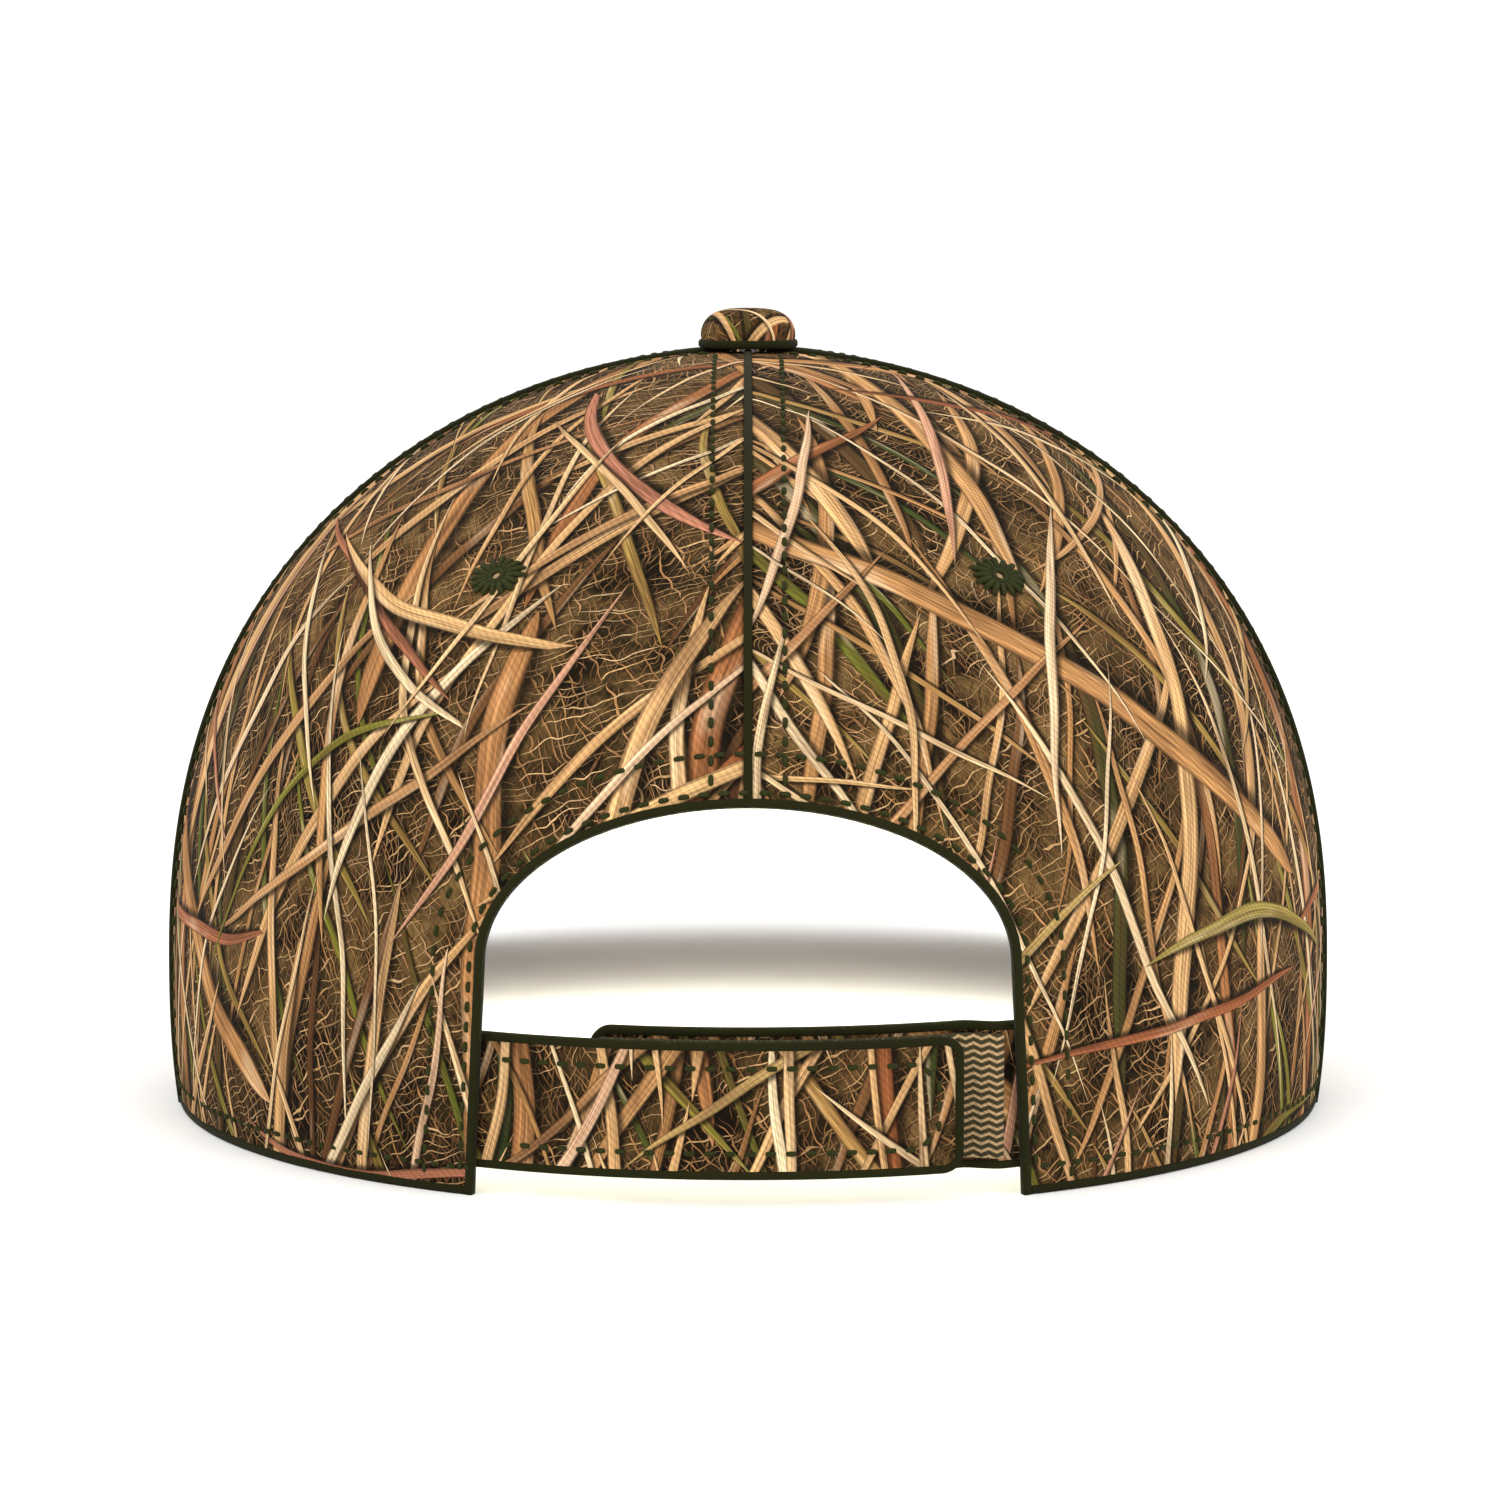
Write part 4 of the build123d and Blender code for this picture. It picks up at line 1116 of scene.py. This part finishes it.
def strap_piece(name, x_from, x_to, top, inset, end_x=None, seed=0.0):
    """A stretch of strap with dark bound edges. end_x is where its free end is, if it has one here."""
    corner, bind, proud = 3.0, 1.25, 0.24
    length, toward = abs(x_to - x_from), 1 if x_to > x_from else -1
    count = ceil(length / 0.8)
    stations = [x_from + toward * length * i / count for i in range(count + 1)]
    if end_x is not None:
        ends = [end_x - toward * d for d in STRAP_END_STEPS]
        stations = [x for x in stations if abs(x - end_x) > 5.4] + ends
    points, uvs, dark_from = [], [], None
    for n, x in enumerate(stations):
        d = abs(end_x - x) if end_x is not None else 99.0
        cut = corner - sqrt(max(0.0, corner**2 - max(0.0, corner - d) ** 2))
        r2 = corner - bind
        inner_cut = r2 - sqrt(max(0.0, r2**2 - max(0.0, min(r2, r2 - (d - bind))) ** 2))
        low, high = STRAP_BOTTOM + cut, top - cut
        in_low, in_high = STRAP_BOTTOM + bind + inner_cut, top - bind - inner_cut
        in_low, in_high = max(in_low, low + 0.4), min(in_high, high - 0.4)
        if d < 1.25 and dark_from is None:
            dark_from = n
        raised = proud if d < 1.25 else 0.0
        slim = min(1.0, 0.3 + (d / 0.4) ** 0.5 * 0.7) if d < 0.4 else 1.0
        wall = [(in_low + (in_high - in_low) * k / 8) for k in range(9)]
        profile = [(low, -0.5), (low + 0.06, -0.1), (low + 0.25, proud - 0.04), (low + 0.42, proud),
                   (max(low + 0.45, in_low - 0.12), proud)]
        profile += [(z, raised) for z in wall]
        profile += [(min(high - 0.45, in_high + 0.12), proud), (high - 0.42, proud), (high - 0.25, proud - 0.04),
                    (high - 0.06, -0.1), (high, -0.5)]
        middle = -STRAP_THICK / 2
        back = [(z, 2 * middle - h) for z, h in reversed(profile)]
        point, normal = strap_frame(x, inset(x))
        run = STRAP_PRINT_START - strap_run(x, inset) + seed
        for z, h in profile + back:
            h = middle + (h - middle) * slim
            points.append(point + normal * h + Vector((0, 0, z)))
            uvs.append((run * MM, (z + seed * 1.7) * MM))
    ring = len(points) // len(stations)
    faces, slots = [], []
    cloth_from, cloth_to = 5, 13
    for i in range(len(stations) - 1):
        for j in range(ring):
            a, b = i * ring + j, i * ring + (j + 1) % ring
            face = (a, b, b + ring, a + ring)
            faces.append(face if toward < 0 else tuple(reversed(face)))
            dark = dark_from is not None and i >= dark_from - 1
            front = cloth_from <= j < cloth_to
            behind = ring - 1 - cloth_to <= j < ring - 1 - cloth_from
            slots.append(1 if dark or not (front or behind) else (0 if front else 2))
    for cap, slot in ((tuple(range(len(points) - ring, len(points))), 1), (tuple(reversed(range(ring))), 1)):
        faces.append(cap if toward > 0 else tuple(reversed(cap)))
        slots.append(slot)
    return build(name, points, faces, material("printed_twill"), uvs, slots,
                 (material("dark_binding"), material("twill_reverse")))


def strap_stitches(name, x_from, x_to, top, inset, settings, ends):
    """Rows along both edges of a strap, and across its free end with cut corners."""
    thread, edge, cut = Thread(settings), 3.7, 2.6
    low, high = STRAP_BOTTOM + edge, top - edge
    toward = 1 if x_to > x_from else -1
    corners = [(x_from, high), (x_to, high)]
    if ends:
        corners = [(x_from, high), (x_to - toward * cut, high), (x_to, high - cut), (x_to, low + cut),
                   (x_to - toward * cut, low), (x_from, low)]
        runs = [corners]
    else:
        runs = [corners, [(x_from, low), (x_to, low)]]
    for run in runs:
        frames = []
        for (x0, z0), (x1, z1) in zip(run, run[1:]):
            count = max(2, ceil(hypot(x1 - x0, z1 - z0) / 1.0))
            for k in range(count + 1):
                share = k / count
                x = x0 + (x1 - x0) * share
                point, normal = strap_frame(x, inset(x) - 0.02)
                frames.append((point + Vector((0, 0, z0 + (z1 - z0) * share)), normal, None))
        thread.row(frames)
    return thread.finish(name, material("stitch_thread"))


def across_hinge(piece):
    """Bends a piece over a few millimetres where it crosses a hinge at an x."""
    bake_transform(piece)
    return piece


def make_straps(settings):
    root = strap_piece("outer_strap_root", STRAP_SEWN_X, STRAP_SPLIT_X, OUTER_TOP, outer_inset, seed=40.0)
    across_hinge(root)
    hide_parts("outer_strap_anchor")
    end = strap_piece(
        "outer_strap_end", STRAP_SPLIT_X, TAB_END_X, OUTER_TOP, outer_inset, TAB_END_X, seed=40.0
    )
    across_hinge(end)
    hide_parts("outer_strap", "outer_strap_binding", "strap_tab", "strap_tab_binding")
    under = strap_piece(
        "under_strap_cloth", -STRAP_SEWN_X, UNDER_END_X, UNDER_TOP, under_inset, UNDER_END_X, seed=300.0
    )
    across_hinge(under)
    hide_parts("under_strap", "under_strap_binding", "under_strap_anchor")
    rows = strap_stitches(
        "outer_strap_root_stitching", 34.6, STRAP_SPLIT_X, OUTER_TOP, outer_inset, settings, False
    )
    across_hinge(rows)
    rows = strap_stitches(
        "outer_strap_end_stitching", STRAP_SPLIT_X, TAB_END_X + 3.6, OUTER_TOP, outer_inset, settings, True
    )
    across_hinge(rows)


def tape_piece(name, x_from, x_to, top, inset, face, cloth):
    """Hook or loop tape: a thin plate along a strap, with rounded free corners and a fuzzy face."""
    low, high, thick = STRAP_BOTTOM + 1.6, top - 1.6, 0.62
    count = ceil(abs(x_to - x_from) / 0.8)
    points, uvs = [], []
    section = [(low, -0.3), (low + 0.12, -0.04), (low + 0.4, 0.0)]
    section += [(low + (high - low) * k / 8, 0.0) for k in range(1, 8)]
    section += [(high - 0.4, 0.0), (high - 0.12, -0.04), (high, -0.3)]
    section += [(z, -thick - h) for z, h in reversed(section)]
    for i in range(count + 1):
        x = x_from + (x_to - x_from) * i / count
        point, normal = strap_frame(x, inset(x) + face)
        run = STRAP_PRINT_START - strap_run(x, inset)
        for z, h in section:
            points.append(point + normal * h + Vector((0, 0, z)))
            uvs.append((run * MM, z * MM))
    faces = grid_faces(count + 1, len(section), close_columns=True)
    faces.append(tuple(range(len(section))))
    faces.append(tuple(reversed(range(len(points) - len(section), len(points)))))
    return build(name, points, faces, cloth, uvs)


def make_closure_tapes(settings):
    behind = STRAP_THICK + 0.09
    rows = (
        ("loop_tape_long", HINGE_X - 8, TAB_HINGE_X + 0.9, OUTER_TOP, outer_inset, behind, "loop_tape",
         "outer_strap", "loop_tape"),
        ("loop_tape_end", TAB_HINGE_X - 0.4, TAB_END_X + 1.7, OUTER_TOP, outer_inset, behind, "loop_tape",
         "strap_tab", "tab_loop_tape"),
        ("hook_tape_strip", -HINGE_X + 0.8, UNDER_END_X - 1.7, UNDER_TOP, under_inset, -0.85, "hook_tape",
         "under_strap", "hook_tape"),
    )
    for name, start, end, top, inset, face, cloth, body, node in rows:
        piece = tape_piece(name, start, end, top, inset, face, material(cloth))
        if name == "hook_tape_strip":
            across_hinge(piece)
        elif name == "loop_tape_end":
            across_hinge(piece)
        else:
            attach(piece, body)
        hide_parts(node)


# ---------------------------------------------------------------- stage
def make_stage(settings):
    scene = bpy.context.scene
    scene.view_settings.view_transform = "Standard"
    floor_mesh = bpy.data.meshes.new("floor")
    size = 6.0
    corners = [(-size, -size, 0), (size, -size, 0), (size, size, 0), (-size, size, 0)]
    floor_mesh.from_pydata(corners, [], [(0, 1, 2, 3)])
    plane = bpy.data.objects.new("floor", floor_mesh)
    scene.collection.objects.link(plane)
    ground = bpy.data.materials.new("floor_pale")
    ground.use_nodes = True
    g = Graph(ground.node_tree)
    shader = next(n for n in ground.node_tree.nodes if n.type == "BSDF_PRINCIPLED")
    grain = g.noise(g.add("ShaderNodeTexCoord").outputs["Object"], 3.0)["Fac"]
    pale = g.mix(g.smooth(grain, 0.3, 0.7), linear(243, 243, 241), linear(247, 247, 245))
    g.put(pale, shader.inputs["Base Color"])
    shader.inputs["Roughness"].default_value = 0.95
    shader.inputs["Specular IOR Level"].default_value = 0.1
    floor_mesh.materials.append(ground)
    world = bpy.data.worlds.new("studio")
    world.use_nodes = True
    background = next(n for n in world.node_tree.nodes if n.type == "BACKGROUND")
    background.inputs["Color"].default_value = (1.0, 1.0, 1.0, 1.0)
    background.inputs["Strength"].default_value = settings.ambient
    scene.world = world
    for name, place, size, watts in (
        ("key", (0.75, 1.1, 1.15), 0.9, 9.5),
        ("fill", (-0.95, 0.9, 0.7), 1.1, 7.5),
        ("top", (0.0, -0.5, 1.4), 1.2, 4.5),
        ("inner", (0.0, 0.05, 0.03), 0.09, 0.4),
    ):
        light = bpy.data.lights.new(name, "AREA")
        light.energy, light.size = watts, size
        lamp = bpy.data.objects.new(name, light)
        lamp.location = place
        aim = Vector((0, -0.1, 0.05)) if name == "inner" else Vector((0, 0, 0.06))
        lamp.rotation_euler = (aim - Vector(place)).to_track_quat("-Z", "Y").to_euler()
        scene.collection.objects.link(lamp)
    lens = bpy.data.cameras.new("view")
    lens.lens, lens.sensor_width, lens.clip_start = 141.2, 36.0, 0.05
    lens.shift_x, lens.shift_y = 0.0013, -0.0341
    camera = bpy.data.objects.new("view", lens)
    target, distance, tilt = Vector((0, 0, 0.06)), 0.9, radians(5.84)
    camera.location = target + Vector((0, cos(tilt), sin(tilt))) * distance
    camera.rotation_euler = (target - camera.location).to_track_quat("-Z", "Y").to_euler()
    scene.collection.objects.link(camera)
    scene.camera = camera


# ---------------------------------------------------------------- add-on
def length_property(name, description, default):
    return bpy.props.FloatProperty(name=name, description=description, default=default, min=0.0, unit="LENGTH",
                                   subtype="DISTANCE", precision=5)


class FieldCapSettings(bpy.types.PropertyGroup):
    """Sizes and strengths that the pieces are made with."""

    mesh_step: length_property("Mesh Step", "Distance between points of the crown cloth", 0.0014)
    pucker_depth: length_property("Pucker Depth", "How far the cloth ripples beside its seams", 0.00045)
    stitch_length: length_property("Stitch Length", "Length of one topstitch", 0.0016)
    stitch_pitch: length_property("Stitch Pitch", "Distance from one topstitch to the next", 0.0028)
    stitch_width: length_property("Stitch Width", "Thickness of the sewing thread", 0.00075)
    weave_pitch: length_property("Weave Pitch", "Distance between the twill's ridges", 0.0006)
    print_scale: bpy.props.FloatProperty(
        name="Print Scale", description="Size of the print, where a larger value is finer", default=1.0, min=0.1,
        unit="NONE", subtype="FACTOR")
    ambient: bpy.props.FloatProperty(
        name="Ambient Light", description="Strength of the even studio light", default=1.16, min=0.0, unit="NONE",
        subtype="FACTOR")


def make_operator(word, label, text, build_pieces):
    """An operator class that makes one group of pieces."""

    def execute(self, context):
        build_pieces(context.scene.field_cap)
        return {"FINISHED"}

    return type(
        "FIELDCAP_OT_" + word,
        (bpy.types.Operator,),
        {"bl_idname": "field_cap." + word, "bl_label": label, "__doc__": text, "execute": execute},
    )


STEPS = (
    ("panels", "Crown Panels", "Sew the six printed panels of the crown", make_panels),
    ("lining", "Lining", "Add the buckram, the seam tapes and the facing inside the crown", make_lining),
    ("sweatband", "Sweatband", "Add the folded sweatband and its stitching", make_sweatband),
    ("piping", "Piping and Bindings", "Add the dark cord in the seams and the tape on the edges", make_piping),
    ("topstitching", "Topstitching", "Sew the rows of stitches on the crown", make_topstitching),
    ("eyelets", "Eyelets", "Embroider the six eyelets", make_eyelets),
    ("button", "Button", "Cover the button and put it on the crown", make_button),
    ("visor", "Visor", "Cover, stitch and bind the visor", make_visor),
    ("straps", "Straps", "Make the two straps and their stitching", make_straps),
    ("closure_tapes", "Closure Tapes", "Put the hook and loop tapes on the straps", make_closure_tapes),
    ("stage", "Stage", "Add the floor, the lights and the camera", make_stage),
)
OPERATORS = tuple(make_operator(*step) for step in STEPS)


class FIELDCAP_PT_panel(bpy.types.Panel):
    """The cap's settings and steps, in the 3D view's sidebar."""

    bl_label = "Field Cap"
    bl_idname = "FIELDCAP_PT_panel"
    bl_space_type = "VIEW_3D"
    bl_region_type = "UI"
    bl_category = "Field Cap"

    def draw(self, context):
        for name in FieldCapSettings.__annotations__:
            self.layout.prop(context.scene.field_cap, name)
        for operator in OPERATORS:
            self.layout.operator(operator.bl_idname)


CLASSES = (FieldCapSettings, *OPERATORS, FIELDCAP_PT_panel)


def register():
    for one in CLASSES:
        bpy.utils.register_class(one)
    bpy.types.Scene.field_cap = bpy.props.PointerProperty(type=FieldCapSettings)


def unregister():
    del bpy.types.Scene.field_cap
    for one in reversed(CLASSES):
        bpy.utils.unregister_class(one)


def main():
    register()
    for operator in OPERATORS:
        group, word = operator.bl_idname.split(".")
        getattr(getattr(bpy.ops, group), word)()


if __name__ == "__main__":
    main()
